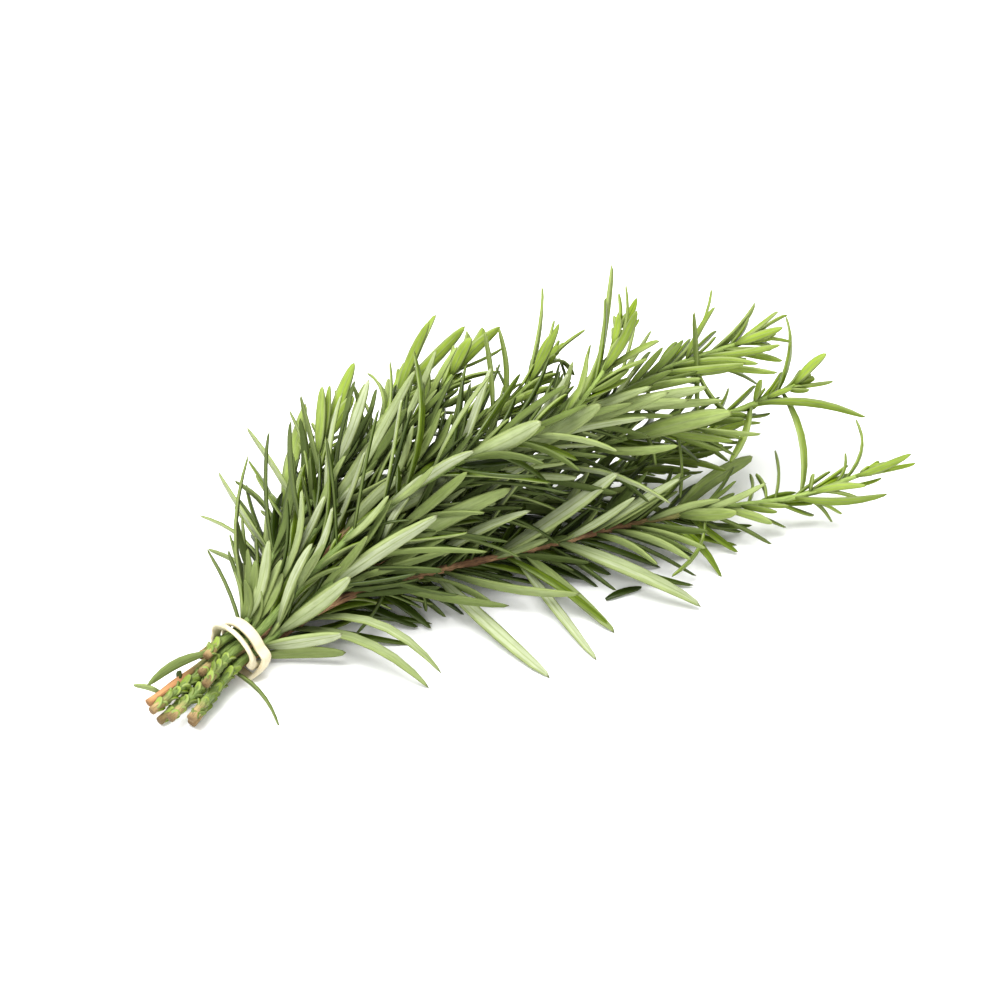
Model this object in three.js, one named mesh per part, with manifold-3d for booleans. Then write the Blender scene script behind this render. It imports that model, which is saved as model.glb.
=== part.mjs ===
// A tied bunch of rosemary: ten cut sprigs lying on a flat surface, held by a rubber band that is wound
// twice round their stems. Millimetres, +Z up, +X from the cut ends to the tips. The sprigs are laid out
// about a point under the tie, whose middle is at TIE_MIDDLE. The finished group is then shifted so that its
// origin is the middle of the bunch's footprint, on the surface it lies on.

import * as THREE from "three";
import { mergeVertices } from "three/addons/utils/BufferGeometryUtils.js";
import Module from "manifold-3d";

const wasm = await Module();
wasm.setup();

// ---- driving dimensions, in millimetres. Turns, spreads, headings, crossings and rolls are in degrees

const TIE_MIDDLE = [0, 1.8, 5.5];
const TIE_HEADING = 10; // the tie's axis turns this far from +X towards +Y

const BAND_BORE = 4.85; // radius inside the band
const BAND_WIDTH = 2.5;
const BAND_THICKNESS = 1.05;
const BAND_STEPS = 60; // stations along both turns
const BAND_OFFSET = 1.55; // each turn's middle from the middle of the tie, along the tie's axis
const BAND_CROSSING = 205; // where the turns change places, counted from the far side over the top
const BAND_CROSSING_SPAN = 30; // half the angle over which they do
const BAND_LIFT = 1.4; // the outer strand's rise where it passes over the inner one
const BAND_LIFT_SPAN = 52;
const BAND_ROLL = 60; // how far the second turn stands up on its edge over the top
const BAND_ROLL_WINDOW = [20, 60, 150, 183]; // where that starts, is full, is still full and is over
const BAND_FLOOR = 0.75; // thickness left where the band is pressed on the surface
const FULL_TURN = 360;
const BOTH_TURNS = 2 * FULL_TURN;

const SEAT_RUN = 3.5; // half the length over which the stems run straight through the tie
const STEM_SIDES = 5;
const STEM_STEP = 8; // length of one stem segment past the tie
const STEM_FINENESS = 400; // steps in which a stem's length is measured
const LEAF_DEPTH = 1; // from the upper face to the keel
const LEAF_RINGS = [0.34, 0.76]; // where along a leaf its rings are
const RING_WIDTHS = [1, 0.84]; // how wide it is there, as a share of its full width
const BLADE_START = 0.1; // the share of a leaf that may touch its neighbours at the stem
const CLEARANCE = 0.25; // least gap between two leaves
const LYING_TIP = 1.2; // a leaf whose tip is lower than this lies flat on the surface
const SINK = 1e-4; // how far rounding may put a leaf under the surface

const LEAFY_PAST_TIE = 3.5; // distance from the tie's straight run to the first pair of leaves
const LEAFLESS_TIP = 0.5; // the last of the stem, which takes no pair
const PAIR_PITCH = 6.8; // distance between pairs of leaves along a stem
const PAIR_TURN = 90; // each pair stands square to the pair below it
const LEAF_LENGTH = 28;
const TIP_LEAF_LENGTH = 11;
const LEAF_WIDTH = 2.8;
const TIP_LEAF_WIDTH = 2;
const LOW_SPREAD = 24; // angle between leaf and stem just past the tie, half way up and at the tip
const MID_SPREAD = 46;
const TIP_SPREAD = 20;
const OPEN_BY = 0.3; // the share of the leafy stem by which the leaves are fully spread
const CLOSE_FROM = 0.4; // and from which they close, shorten and crowd
const CROWDING = 0.6; // the pitch at the tip, as a share of the pitch below
const LEAF_BOW = 0.04; // how far a leaf bows, as a share of its length
const JITTER = { turn: 26, spread: 13, length: 0.14, place: 0.8, bow: 0.09, roll: 22, width: 0.25 };

// The leaves of a pair and the short one in its axil: their size and spread beside the pair's, how far up
// the stem from the pair they stand and their turn about it.
const MEMBERS = [
  { length: 1, spread: 1, width: 1, step: 0, turn: 0 },
  { length: 1, spread: 1, width: 1, step: 0, turn: 180 },
  { length: 0.45, spread: 0.75, width: 0.75, step: 3, turn: 90 },
];

// What a leaf that meets a neighbour tries in turn: more turn about the stem, and smaller spread and length.
const LEAF_TRIES = [
  { turn: 0, spread: 1, length: 1 },
  { turn: 24, spread: 0.85, length: 0.95 },
  { turn: -24, spread: 0.85, length: 0.95 },
  { turn: 45, spread: 0.75, length: 0.85 },
  { turn: -45, spread: 0.75, length: 0.85 },
  { turn: 10, spread: 0.55, length: 0.75 },
  { turn: -70, spread: 0.9, length: 0.7 },
];

// A leaf placed by hand gives its tip in millimetres. These are the places near it that it may take.
const TIP_NUDGES = [
  [0, 0, 0],
  [0, 0, 2],
  [0, 2, 0],
  [0, -2, 0],
  [0, 0, -2],
  [2, 0, 1],
  [-2, 1, 1],
  [0, 3, 3],
  [0, -3, 3],
];

// The bunch has a show side, which SHOW_SIDE points to: near and above. The leaves placed by hand and the
// bare stem of the front sprig are seen from there, so a leaf of the rule that would hide them gives way.
const SHOW_SIDE = [-0.426, -0.565, 0.707];
const SHOWN_STEM = { sprig: 0, from: 36, to: 104, step: 3 }; // the first sprig is the front one
const HIDES_WITHIN = 1.8; // a spot hides what is this near to its line of sight
const SPOT_SHARES = [0.1, 0.26, 0.42, 0.58, 0.74, 0.9]; // the spots of a leaf that are looked at
const HIDES_MOST = 2; // how many of them may hide something

// Each sprig: the middle of its cut end, its seat in the tie (across and up from the tie's middle), the
// points its stem passes beyond the tie, its radius at the cut end and at the tip, and the leaves placed
// by hand, as [distance along the stem, [tip], width, bow, roll about the leaf in degrees].
const SPRIGS = [
  {
    name: "sprig_front",
    cut: [-18, -7.2, 1.7],
    seat: [-2.18, -2.6],
    route: [
      [22, -2.5, 9],
      [44, -8, 9],
      [64, -15, 9],
      [84, -21.5, 9],
      [103, -29, 9],
      [121, -38, 9.5],
      [136.5, -44.5, 13.5],
    ],
    radius: [1.05, 0.5],
    leaves: [
      [16, [-4, -19, 2], 2, 1.8, 12],
      [22, [18, -12, 4], 3.6, 1, 0],
      [34, [32, -27, 1], 2.4, 7, 0],
      [31, [28, -28, 0], 2.6, 5, 0],
      [55, [22, -10, 5], 1.8, 1, 0],
      [62, [49, -23, 8], 2.2, 2, 0],
      [65, [50, -41, 0], 3.2, -0.9, 12],
      [67, [65, -32, 9], 2.8, -0.5, 0],
      [79, [82, -23, 28], 4.2, 2, 0],
      [83, [61, -43, 0], 2.4, -1, 0],
      [85, [69, -39, 0], 3, 0, 0],
      [93, [88, -45, 1], 4, 2, 0],
      [98, [91, -39, 1], 1.8, -1, 0],
      [102, [83, -36, 10], 2.2, 1, 0],
      [106, [89, -40, 11], 2.2, 1, 0],
      [110, [93, -40, 12], 1.8, 1, 0],
      [113, [96, -37, 13], 1.8, 0.5, 0],
      [117, [98, -40, 0], 2.2, 2, 0],
      [119, [124, -19, 5], 4.6, -1, 0],
      [121, [104, -37, 14], 3, 1, 0],
      [123, [105, -37, 1], 2, 0, 0],
      [127, [86, -34, 2], 2, 3, 2],
      [130, [117, -39, 3], 2.2, 1, 0],
      [137, [120, -23, 5], 2, 1, 0],
      [135, [113, -40, 11], 1.6, 0, 0],
      [143, [128, -22, 7], 2.2, 1, 0],
      [147, [133, -53, 15], 2, -1.5, 0],
      [149, [124, -46, 6], 2, 1, 0],
      [151, [125, -38, 14], 1.6, 0, 0],
      [157, [134, -38, 15], 2, 1, 0],
      [159, [143, -31, 15], 1.8, 2.8, 6],
      [161, [143, -49, 18], 1.8, 0, 0],
    ],
  },
  {
    name: "sprig_under",
    cut: [-23, -2.6, 1.6],
    seat: [0.76, -3.36],
    route: [
      [22, 2, 5],
      [46, 3, 6],
      [72, -2, 7],
      [97, -8, 8],
      [122, -14, 12],
    ],
    radius: [0.95, 0.5],
    leaves: [
      [40, [39, -14, 1], 1.8, 1, 0],
      [36, [33, -16, 0], 1.8, 1, 0],
      [90, [75, -9, 11], 1.6, 1, 0],
      [120, [104, -21, 14], 1.8, 1, 0],
      [128, [111, -25, 13], 2, 1, 0],
    ],
  },
  {
    name: "sprig_right",
    cut: [-22, -5.4, 4.3],
    seat: [-1.22, -0.46],
    route: [
      [21, -2.5, 13],
      [47, -5, 19],
      [68, -7, 23],
      [88, -12, 25],
      [107, -18, 24],
      [122, -20, 23],
      [135.5, -20.5, 22.3],
    ],
    radius: [1, 0.5],
    leaves: [
      [57, [58, -17, 33], 3.8, 0, 0],
      [87, [73, -19, 16], 1.8, 1, 0],
      [119, [106, -31, 38], 4, 2, 0],
      [124, [95, -20, 20], 1.8, 0.5, 0],
      [127, [107, -31, 29], 1.8, 1, 0],
      [131, [98, -25, 12], 1.8, 0.9, 19],
      [136, [114, -8, 46], 2, 1, 0],
      [139, [121, -13, 23], 2.2, 1, 0],
      [144, [112, -13, 31], 2.2, -1, 0],
      [150, [111, -26, 16], 3, 1, 0],
      [151, [136, -41, 27], 2.2, 2, 0],
      [151, [125, -19, 28], 2, 0, 0],
      [157, [145, -4, 25], 2.2, 2.5, -27],
      [158, [122, -37, 8], 2.8, 1.8, 33],
      [162, [141, -22, 29], 2.4, 0, 0],
    ],
  },
  {
    name: "sprig_upper_right",
    cut: [-19, -8.8, 5.2],
    seat: [-3.44, 0],
    route: [
      [20, -5, 18],
      [40, -6, 26],
      [63, -7, 32],
      [88, -8, 33],
      [107, -8, 33],
      [131, -11.5, 32],
    ],
    radius: [1, 0.5],
    leaves: [
      [25, [16, -14, 13], 4.4, 0.5, 0],
      [29, [20, -12, 26], 3.6, 1, 0],
      [29, [15, -6, 34], 2.6, 0, 0],
      [45, [41, -14, 33], 4, 0, 0],
      [67, [51, -17, 30], 1.8, 1, 0],
      [91, [80, -19, 46], 4.2, 1.5, 0],
      [113, [100, -18, 44], 2, 1, 0],
      [119, [104, -23, 43], 1.8, 1, 0],
      [134, [130, 5, 35], 2.4, 2, 0],
      [139, [130, -13, 19], 2.2, 2, 0],
      [140, [120, -8, 44], 1.6, 0, 0],
      [145, [137, -2, 32], 2.8, 1, 0],
      [149, [128, -22, 34], 2, 1, 0],
      [151, [133, -5, 32], 2, 1, 0],
      [152, [132, -17, 38], 2, 0, 0],
    ],
  },
  {
    name: "sprig_crest",
    cut: [-13, -5.5, 8.8],
    seat: [-2.1, 2.69],
    route: [
      [18, -2, 21],
      [36, -4, 31],
      [56, -10, 40],
      [72, -16, 45],
      [84, -14, 49],
      [92, -9, 54],
    ],
    radius: [0.95, 0.45],
    leaves: [
      [37, [28, -7, 28], 2.2, 1, 0],
      [51, [63, -1, 27], 4, 0, 0],
      [76, [61, -23, 55], 4, 2, 0],
      [100, [80, -14, 57], 1.8, 1, 0],
      [103, [90, -6, 48], 3, 1, 0],
      [108, [102, 6, 54], 3, 0, 0],
      [109, [93, -1, 54], 2.2, 1, 0],
      [111, [102, -11, 46], 2.4, 1, 0],
      [112, [92, -15, 63], 2.2, 1, 0],
      [114, [91, -10, 65], 2.2, 2.2, -71],
    ],
  },
  {
    name: "sprig_middle",
    cut: [-24, -1.4, 4.3],
    seat: [0.97, -0.81],
    route: [
      [19, 3, 15.5],
      [36, 3, 25],
      [54, 1, 34],
      [71, 0, 38],
      [85, 4, 41],
    ],
    radius: [0.92, 0.45],
    leaves: [
      [58, [42, 0, 33], 2.8, 1, 0],
      [76, [54, 2, 44], 2.2, 1, 0],
      [80, [56, 1, 42], 2.2, 1, 0],
      [99, [69, 7, 54], 2, 1, 0],
      [102, [72, 6, 54], 1.8, 1, 0],
      [108, [94, 20, 44], 2.6, 1, 0],
      [110, [85, 2, 51], 1.8, 0, 0],
      [112, [84, 3, 48], 1.8, 0, 0],
      [114, [91, 4, 31], 1.8, 3, 0],
    ],
  },
  {
    name: "sprig_upper_middle",
    cut: [-11.5, -1.5, 7.8],
    seat: [0.2, 1.5],
    route: [
      [16, 4, 19],
      [31, 7, 27],
      [48, 10, 32],
      [62, 14, 35],
      [72, 18, 37],
    ],
    radius: [0.92, 0.45],
    leaves: [
      [18.5, [13, 3, 19], 2.2, 0, 0],
      [45.5, [48, 20, 24], 3.3, 1, 0],
      [88.5, [72, 16, 44], 2.8, 0, 0],
      [89.5, [79, 15, 44], 2.6, 1, 0],
      [91.5, [78, 26, 35], 2.4, 1, 0],
      [92.5, [81, 24, 34], 2.4, 1, 0],
    ],
  },
  {
    name: "sprig_upper_left",
    cut: [-9, 0, 10],
    seat: [1.26, 3.36],
    route: [
      [14, 9.5, 16.5],
      [30, 15, 22],
      [48, 22, 23],
      [67, 31.5, 23.5],
    ],
    radius: [0.9, 0.45],
    leaves: [
      [2, [-22, 3, 7], 2.2, 2, 0],
      [24, [31, 20, 11], 3.2, 1, 0],
      [72, [60, 39, 23], 2.4, 1.7, -29],
      [70, [66, 39, 20], 3, 0, 0],
      [79, [71, 30, 39], 2.4, 1, 0],
      [82, [77, 25, 36], 2.8, 0, 0],
      [83, [80, 40, 29], 2.4, 0, 0],
    ],
  },
  {
    name: "sprig_left",
    cut: [-9, 2.5, 8],
    seat: [3.11, 1.51],
    route: [
      [12, 9, 11],
      [24, 17, 15],
      [38, 27, 18],
      [48, 34.5, 19.5],
    ],
    radius: [0.9, 0.45],
    leaves: [
      [13, [15, 27, 8], 3.2, 1, 0],
      [20, [25, 25, 6], 3, 1, 0],
      [38, [28, 36, 13], 2.2, 0, 0],
      [57, [47, 37, 28], 2.6, 1, 0],
      [62, [53, 34, 24], 3.2, 1, 0],
      [64, [57, 39, 28], 2.8, 1, 0],
    ],
  },
  {
    name: "sprig_far_left",
    cut: [-23, 1.6, 3.4],
    seat: [3.11, -1.51],
    route: [
      [10, 8, 6],
      [18, 16, 8],
      [29, 27, 10],
      [36, 33.5, 12],
    ],
    radius: [0.9, 0.45],
    leaves: [
      [4, [-22, 9, 2], 1.6, 0.5, 0],
      [30, [18, 22, 36], 1.8, 3.7, 127],
      [31, [7, 18, 15], 1.6, 0, 0],
      [34, [20, 22, 12], 2.2, 0, 0],
      [36, [13, 19, 22], 1.8, 1.1, 73],
      [40, [12, 32, 3], 2.2, 1, 0],
      [60, [45, 41, 21], 3, 1, 0],
      [61, [42, 44, 6], 2.2, 1, 0],
    ],
  },
];

const GREEN = new THREE.MeshStandardMaterial({ color: "#7c9658", roughness: 0.6, metalness: 0 });
const CREAM = new THREE.MeshStandardMaterial({ color: "#efe4c4", roughness: 0.55, metalness: 0 });

// ---- small helpers

const { clamp, degToRad, lerp, smoothstep } = THREE.MathUtils;
const vector = (x, y, z) => new THREE.Vector3(x, y, z);
const UP = vector(0, 0, 1);
const ALONG_TIE = vector(1, 0, 0).applyAxisAngle(UP, degToRad(TIE_HEADING));
const ACROSS_TIE = vector(0, 1, 0).applyAxisAngle(UP, degToRad(TIE_HEADING));
const TO_SHOW_SIDE = vector(...SHOW_SIDE).normalize();

// A repeatable draw from 0 to 1 for one use of one leaf of one sprig.
function draw(sprig, leaf, use) {
  const mixed = Math.sin(sprig * 12.9898 + leaf * 78.233 + use * 37.719) * 43758.5453;
  return mixed - Math.floor(mixed);
}

// A point in the tie: along its axis, across it and up, from its middle.
function inTie(along, across, up) {
  return vector(...TIE_MIDDLE)
    .addScaledVector(UP, up)
    .addScaledVector(ALONG_TIE, along)
    .addScaledVector(ACROSS_TIE, across);
}

// The closed mesh of a geometry as a solid, with the vertices that faces share merged.
function solidOf(geometry) {
  const bare = geometry.clone();
  bare.deleteAttribute("normal");
  bare.deleteAttribute("uv");
  const merged = mergeVertices(bare, 1e-4);
  return new wasm.Manifold(
    new wasm.Mesh({
      numProp: 3,
      vertProperties: merged.attributes.position.array,
      triVerts: new Uint32Array(merged.index.array),
    }),
  );
}

function geometryOf(solid) {
  const mesh = solid.getMesh();
  const geometry = new THREE.BufferGeometry();
  geometry.setAttribute("position", new THREE.BufferAttribute(mesh.vertProperties, 3));
  geometry.setIndex(new THREE.BufferAttribute(mesh.triVerts, 1));
  return geometry.toNonIndexed();
}

// A cylinder's or a sphere's skin, each vertex of which is moved by place(y, x, z): y is its height, and
// (x, z) is its direction from the axis, or (0, 0) on the axis.
function bend(shape, place) {
  const spots = shape.attributes.position;
  for (let i = 0; i < spots.count; i += 1) {
    const reach = Math.hypot(spots.getX(i), spots.getZ(i));
    const scale = reach > 1e-6 ? 1 / reach : 0;
    const spot = place(spots.getY(i), spots.getX(i) * scale, spots.getZ(i) * scale);
    spots.setXYZ(i, spot.x, spot.y, spot.z);
  }
  return shape;
}

// ---- stems

// A sprig's stem: its length, a point, direction and radius at any distance along it, where its leaves start,
// and the distances of its rings, of which two are at the ends of its straight run through the tie.
function stemOf(spec) {
  const spots = [
    vector(...spec.cut),
    inTie(-SEAT_RUN, ...spec.seat),
    inTie(SEAT_RUN, ...spec.seat),
    ...spec.route.map((spot) => vector(...spot)),
  ];
  const line = new THREE.CatmullRomCurve3(spots);
  line.arcLengthDivisions = STEM_FINENESS;
  const length = line.getLength();
  const distances = line.getLengths();
  const distanceOf = (spot) => distances[Math.round((STEM_FINENESS * spot) / (spots.length - 1))];
  const [enters, leaves] = [distanceOf(1), distanceOf(2)];
  const steps = Math.round((length - leaves) / STEM_STEP);
  const beyond = Array.from({ length: steps }, (_, i) => lerp(leaves, length, (i + 1) / steps));
  const share = (distance) => clamp(distance / length, 0, 1);
  return {
    length,
    rings: [0, enters, leaves, ...beyond],
    leafyFrom: leaves + LEAFY_PAST_TIE,
    pointAt: (distance) => line.getPointAt(share(distance)),
    directionAt: (distance) => line.getTangentAt(share(distance)),
    radiusAt: (distance) => lerp(...spec.radius, share(distance)),
  };
}

function stemSolid(stem) {
  const rows = stem.rings.length - 1;
  const shape = new THREE.CylinderGeometry(1, 1, 1, STEM_SIDES, rows);
  return solidOf(
    bend(shape, (y, x, z) => {
      const distance = stem.rings[Math.round((y + 0.5) * rows)];
      const ahead = stem.directionAt(distance);
      const side = UP.clone().cross(ahead).normalize();
      const lift = vector().crossVectors(ahead, side);
      return stem
        .pointAt(distance)
        .addScaledVector(side, z * stem.radiusAt(distance))
        .addScaledVector(lift, x * stem.radiusAt(distance));
    }),
  );
}

// ---- leaves

// A leaf from a stem to its tip. Its upper face looks the way the stem grows, or up where its tip lies on
// the surface, turned by roll about the leaf. bow is how far its middle stands off the straight line
// towards that face.
function leafTo(stem, distance, tip, width, bow, roll) {
  const root = stem.pointAt(distance);
  const reach = tip.clone().sub(root);
  const heading = reach.clone().normalize();
  const looks = tip.z < LYING_TIP ? UP : stem.directionAt(distance);
  const face = looks.clone().addScaledVector(heading, -looks.dot(heading)).normalize();
  face.applyAxisAngle(heading, degToRad(roll));
  const side = vector().crossVectors(face, heading);
  return { root, tip, face, side, width, bow, length: reach.length() };
}

// A three-sided needle, pointed at both ends: a flat upper face between two edges, and a keel below. What
// would go under the surface lies on it. start leaves out the foot, up to that share of the length.
function leafSolid(leaf, start) {
  const shares = [start, ...LEAF_RINGS, 1];
  const widths = [0, ...RING_WIDTHS, 0];
  const shape = new THREE.SphereGeometry(1, 3, shares.length - 1);
  return solidOf(
    bend(shape, (y, x, z) => {
      const row = Math.round((Math.acos(y) / Math.PI) * (shares.length - 1));
      const share = shares[row];
      const keel = LEAF_DEPTH * widths[row];
      const spot = spotOn(leaf, share);
      spot.z = Math.max(spot.z, keel);
      spot.addScaledVector(leaf.side, (-z * leaf.width * widths[row]) / Math.sqrt(3));
      spot.addScaledVector(leaf.face, (keel * (x - 0.5)) / 1.5);
      return spot;
    }),
  );
}

// ---- band

// The rubber band: a flat strand that runs twice round the tie and closes on itself. Its first turn lies
// towards the tips and its second towards the cut ends. They change places at BAND_CROSSING, where one
// is lifted over the other. The second turn rolls onto its edge over the top.
function bandSolid() {
  const shape = new THREE.CylinderGeometry(1, 1, 1, 4, BAND_STEPS, true, Math.PI / 4);
  const span = BAND_CROSSING_SPAN;
  const [rollStart, rollFull, rollHeld, rollEnd] = BAND_ROLL_WINDOW;
  return solidOf(
    bend(shape, (y, x, z) => {
      const turned = (y + 0.5) * BOTH_TURNS;
      const place =
        smoothstep(turned, -span, span) -
        smoothstep(turned, FULL_TURN - span, FULL_TURN + span) +
        smoothstep(turned, BOTH_TURNS - span, BOTH_TURNS + span);
      const lifted = 1 - smoothstep(Math.abs(turned - FULL_TURN), span, BAND_LIFT_SPAN);
      const over = turned + BAND_CROSSING - BOTH_TURNS;
      const rolled = smoothstep(over, rollStart, rollFull) - smoothstep(over, rollHeld, rollEnd);
      const roll = degToRad(BAND_ROLL * rolled);
      const angle = degToRad(turned + BAND_CROSSING);
      const half = (BAND_WIDTH / 2) * Math.sin(roll) + (BAND_THICKNESS / 2) * Math.cos(roll);
      const radius = BAND_BORE + half + BAND_LIFT * lifted;
      const wide = (Math.sign(x) * BAND_WIDTH) / 2;
      const thick = (Math.sign(z) * BAND_THICKNESS) / 2;
      const along = -wide * Math.cos(roll) + thick * Math.sin(roll);
      const out = radius + wide * Math.sin(roll) + thick * Math.cos(roll);
      const offset = BAND_OFFSET * (2 * place - 1);
      const spot = inTie(offset + along, out * Math.cos(angle), out * Math.sin(angle));
      spot.z = Math.max(spot.z, z > 0 ? 0 : BAND_FLOOR);
      return spot;
    }),
  );
}

// ---- sprigs

// The leaves that follow the rule: pairs up the stem, each square to the last, with a short leaf in one
// axil. They spread widest half way up and close in and shorten towards the tip. Each leaf comes
// as the list of ways it may be placed.
function ruledLeaves(stem, sprig) {
  const leaves = [];
  let pair = 0;
  for (let distance = stem.leafyFrom; distance < stem.length - LEAFLESS_TIP; pair += 1) {
    const share = (distance - stem.leafyFrom) / (stem.length - stem.leafyFrom);
    const late = smoothstep(share, CLOSE_FROM, 1);
    const opened = lerp(LOW_SPREAD, MID_SPREAD, smoothstep(share, 0, OPEN_BY));
    const spread = lerp(opened, TIP_SPREAD, late);
    const length = lerp(LEAF_LENGTH, TIP_LEAF_LENGTH, late);
    const width = lerp(LEAF_WIDTH, TIP_LEAF_WIDTH, late);
    for (let member = 0; member < MEMBERS.length; member += 1) {
      const leaf = pair * MEMBERS.length + member;
      const kind = MEMBERS[member];
      const jitter = (use) => (draw(sprig, leaf, Object.keys(JITTER).indexOf(use) + 1) * 2 - 1) * JITTER[use];
      const bearing = pair * PAIR_TURN + kind.turn + jitter("turn");
      const at = Math.min(distance + kind.step + jitter("place"), stem.length - LEAFLESS_TIP);
      leaves.push(
        LEAF_TRIES.map((attempt) => {
          const open = spread * attempt.spread * kind.spread + jitter("spread");
          const reach = length * attempt.length * kind.length * (1 + jitter("length"));
          const tip = tipAt(stem, at, bearing + attempt.turn, open, reach);
          const bow = reach * (LEAF_BOW + jitter("bow"));
          return leafTo(stem, at, tip, width * kind.width * (1 + jitter("width")), bow, jitter("roll"));
        }),
      );
    }
    distance += PAIR_PITCH * lerp(1, CROWDING, late);
  }
  return leaves;
}

// Where the tip of a leaf is that leaves the stem at a turn about it and at an angle to it.
function tipAt(stem, distance, turn, spread, length) {
  const ahead = stem.directionAt(distance);
  const side = UP.clone().cross(ahead).normalize();
  const out = side.applyAxisAngle(ahead, degToRad(turn));
  const tip = stem
    .pointAt(distance)
    .addScaledVector(ahead, length * Math.cos(degToRad(spread)))
    .addScaledVector(out, length * Math.sin(degToRad(spread)));
  tip.z = Math.max(tip.z, 0);
  return tip;
}

// The leaves placed by hand, each as the list of places near its own that it may take.
function placedLeaves(spec, stem) {
  return spec.leaves.map(([distance, spot, width, bow, roll]) =>
    TIP_NUDGES.map((nudge) => {
      const tip = vector(...spot).add(vector(...nudge));
      tip.z = Math.max(tip.z, 0);
      return leafTo(stem, distance, tip, width, bow, roll);
    }),
  );
}

// A point of the curve that runs along the middle of a leaf's upper face.
function spotOn(leaf, share) {
  const spot = leaf.root.clone().lerp(leaf.tip, share);
  return spot.addScaledVector(leaf.face, leaf.bow * 4 * share * (1 - share));
}

// Whether a leaf would stand before what is to be seen.
function hides(leaf, shown) {
  const covering = SPOT_SHARES.filter((share) => {
    const spot = spotOn(leaf, share);
    return shown.some((seen) => {
      const apart = spot.clone().sub(seen);
      const nearer = apart.dot(TO_SHOW_SIDE);
      return nearer > 0 && apart.addScaledVector(TO_SHOW_SIDE, -nearer).length() < HIDES_WITHIN;
    });
  });
  return covering.length > HIDES_MOST;
}

function boxesMeet(a, b) {
  return [0, 1, 2].every((k) => a.min[k] - CLEARANCE < b.max[k] && b.min[k] - CLEARANCE < a.max[k]);
}

// Whether a leaf keeps clear of everything that stands already. Leaves of one sprig may meet at the foot.
function keepsClear(leaf, others) {
  return others.every((other) => {
    const kin = other.sprig === leaf.sprig;
    const theirs = kin ? other.blade : other.whole;
    if (!theirs || !boxesMeet(leaf.box, other.box)) return true;
    return (kin ? leaf.blade : leaf.whole).minGap(theirs, CLEARANCE) >= CLEARANCE;
  });
}

const band = bandSolid();
const stems = SPRIGS.map(stemOf);
const standing = [{ sprig: -1, whole: band, box: band.boundingBox() }];
const grown = stems.map((stem, sprig) => {
  const whole = stemSolid(stem);
  standing.push({ sprig, whole, box: whole.boundingBox() });
  return [whole];
});

// Adds each leaf to its sprig in the first of its places that keeps clear, stays above the surface and
// hides nothing that is to be seen. One that has none is left out.
function grow(sprig, leaves, shown) {
  for (const places of leaves) {
    for (const place of places) {
      if (hides(place, shown)) continue;
      const whole = leafSolid(place, 0);
      const blade = leafSolid(place, BLADE_START);
      const leaf = { sprig, whole, blade, box: whole.boundingBox() };
      if (leaf.box.min[2] > -SINK && keepsClear(leaf, standing)) {
        standing.push(leaf);
        grown[sprig].push(whole);
        break;
      }
    }
  }
}

// What is to be seen: the middles of the leaves placed by hand and of the front sprig's bare stem.
function shownSpots(placed) {
  const spots = placed.flat().flatMap(([leaf]) => SPOT_SHARES.map((share) => spotOn(leaf, share)));
  for (let distance = SHOWN_STEM.from; distance <= SHOWN_STEM.to; distance += SHOWN_STEM.step) {
    spots.push(stems[SHOWN_STEM.sprig].pointAt(distance));
  }
  return spots;
}

const placed = SPRIGS.map((spec, sprig) => placedLeaves(spec, stems[sprig]));
const shown = shownSpots(placed);
placed.forEach((leaves, sprig) => grow(sprig, leaves, []));
stems.forEach((stem, sprig) => grow(sprig, ruledLeaves(stem, sprig), shown));

// ---- assembly

const bunch = new THREE.Group();

function add(name, solid, material) {
  const mesh = new THREE.Mesh(geometryOf(solid), material);
  mesh.name = name;
  bunch.add(mesh);
}

add("rubber_band", band, CREAM);
SPRIGS.forEach((spec, sprig) => {
  const bodies = wasm.Manifold.union(grown[sprig]).decompose();
  bodies.sort((a, b) => b.volume() - a.volume());
  add(spec.name, bodies[0], GREEN);
});

const box = new THREE.Box3().setFromObject(bunch);
const middle = box.getCenter(vector());
bunch.position.set(-middle.x, -middle.y, -box.min.z);

export default bunch;
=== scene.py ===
"""Tied bunch of rosemary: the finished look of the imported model.

The frame holds one node for each sprig, its stem and needle leaves in one solid, and one for the rubber
band. Each sprig is drawn again here as a ribbed stem and blades with rolled edges that follow its
needles, and the band as a rounded strand. Places and sizes are in millimetres about the tie, as in the
part's source, up to the point where a mesh is made.
"""

from __future__ import annotations

import logging
import math
from dataclasses import dataclass, field
from enum import Enum
from typing import Iterable

import bpy
import numpy as np
from mathutils.kdtree import KDTree
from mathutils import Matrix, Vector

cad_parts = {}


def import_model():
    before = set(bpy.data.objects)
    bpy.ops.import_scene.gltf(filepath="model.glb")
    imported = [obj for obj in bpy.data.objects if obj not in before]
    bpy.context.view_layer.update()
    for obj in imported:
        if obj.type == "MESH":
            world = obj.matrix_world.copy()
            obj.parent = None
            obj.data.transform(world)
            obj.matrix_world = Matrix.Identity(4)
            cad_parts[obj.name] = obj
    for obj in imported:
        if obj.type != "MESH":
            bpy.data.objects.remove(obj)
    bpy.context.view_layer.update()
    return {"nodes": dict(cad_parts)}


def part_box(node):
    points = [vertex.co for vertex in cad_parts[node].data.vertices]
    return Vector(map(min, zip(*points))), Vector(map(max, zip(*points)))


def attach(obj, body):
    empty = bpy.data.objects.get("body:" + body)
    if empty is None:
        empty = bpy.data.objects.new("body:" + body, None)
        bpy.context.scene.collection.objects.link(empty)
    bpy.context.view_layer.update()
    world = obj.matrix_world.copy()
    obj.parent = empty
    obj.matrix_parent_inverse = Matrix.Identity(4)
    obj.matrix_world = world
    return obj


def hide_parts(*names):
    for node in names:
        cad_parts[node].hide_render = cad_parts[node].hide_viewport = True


LOG = logging.getLogger("rosemary_bunch")

MM = 0.001
FULL_TURN = 360.0
BOTH_TURNS = 2 * FULL_TURN
BODY = "root"
UP = np.array([0.0, 0.0, 1.0])

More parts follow.
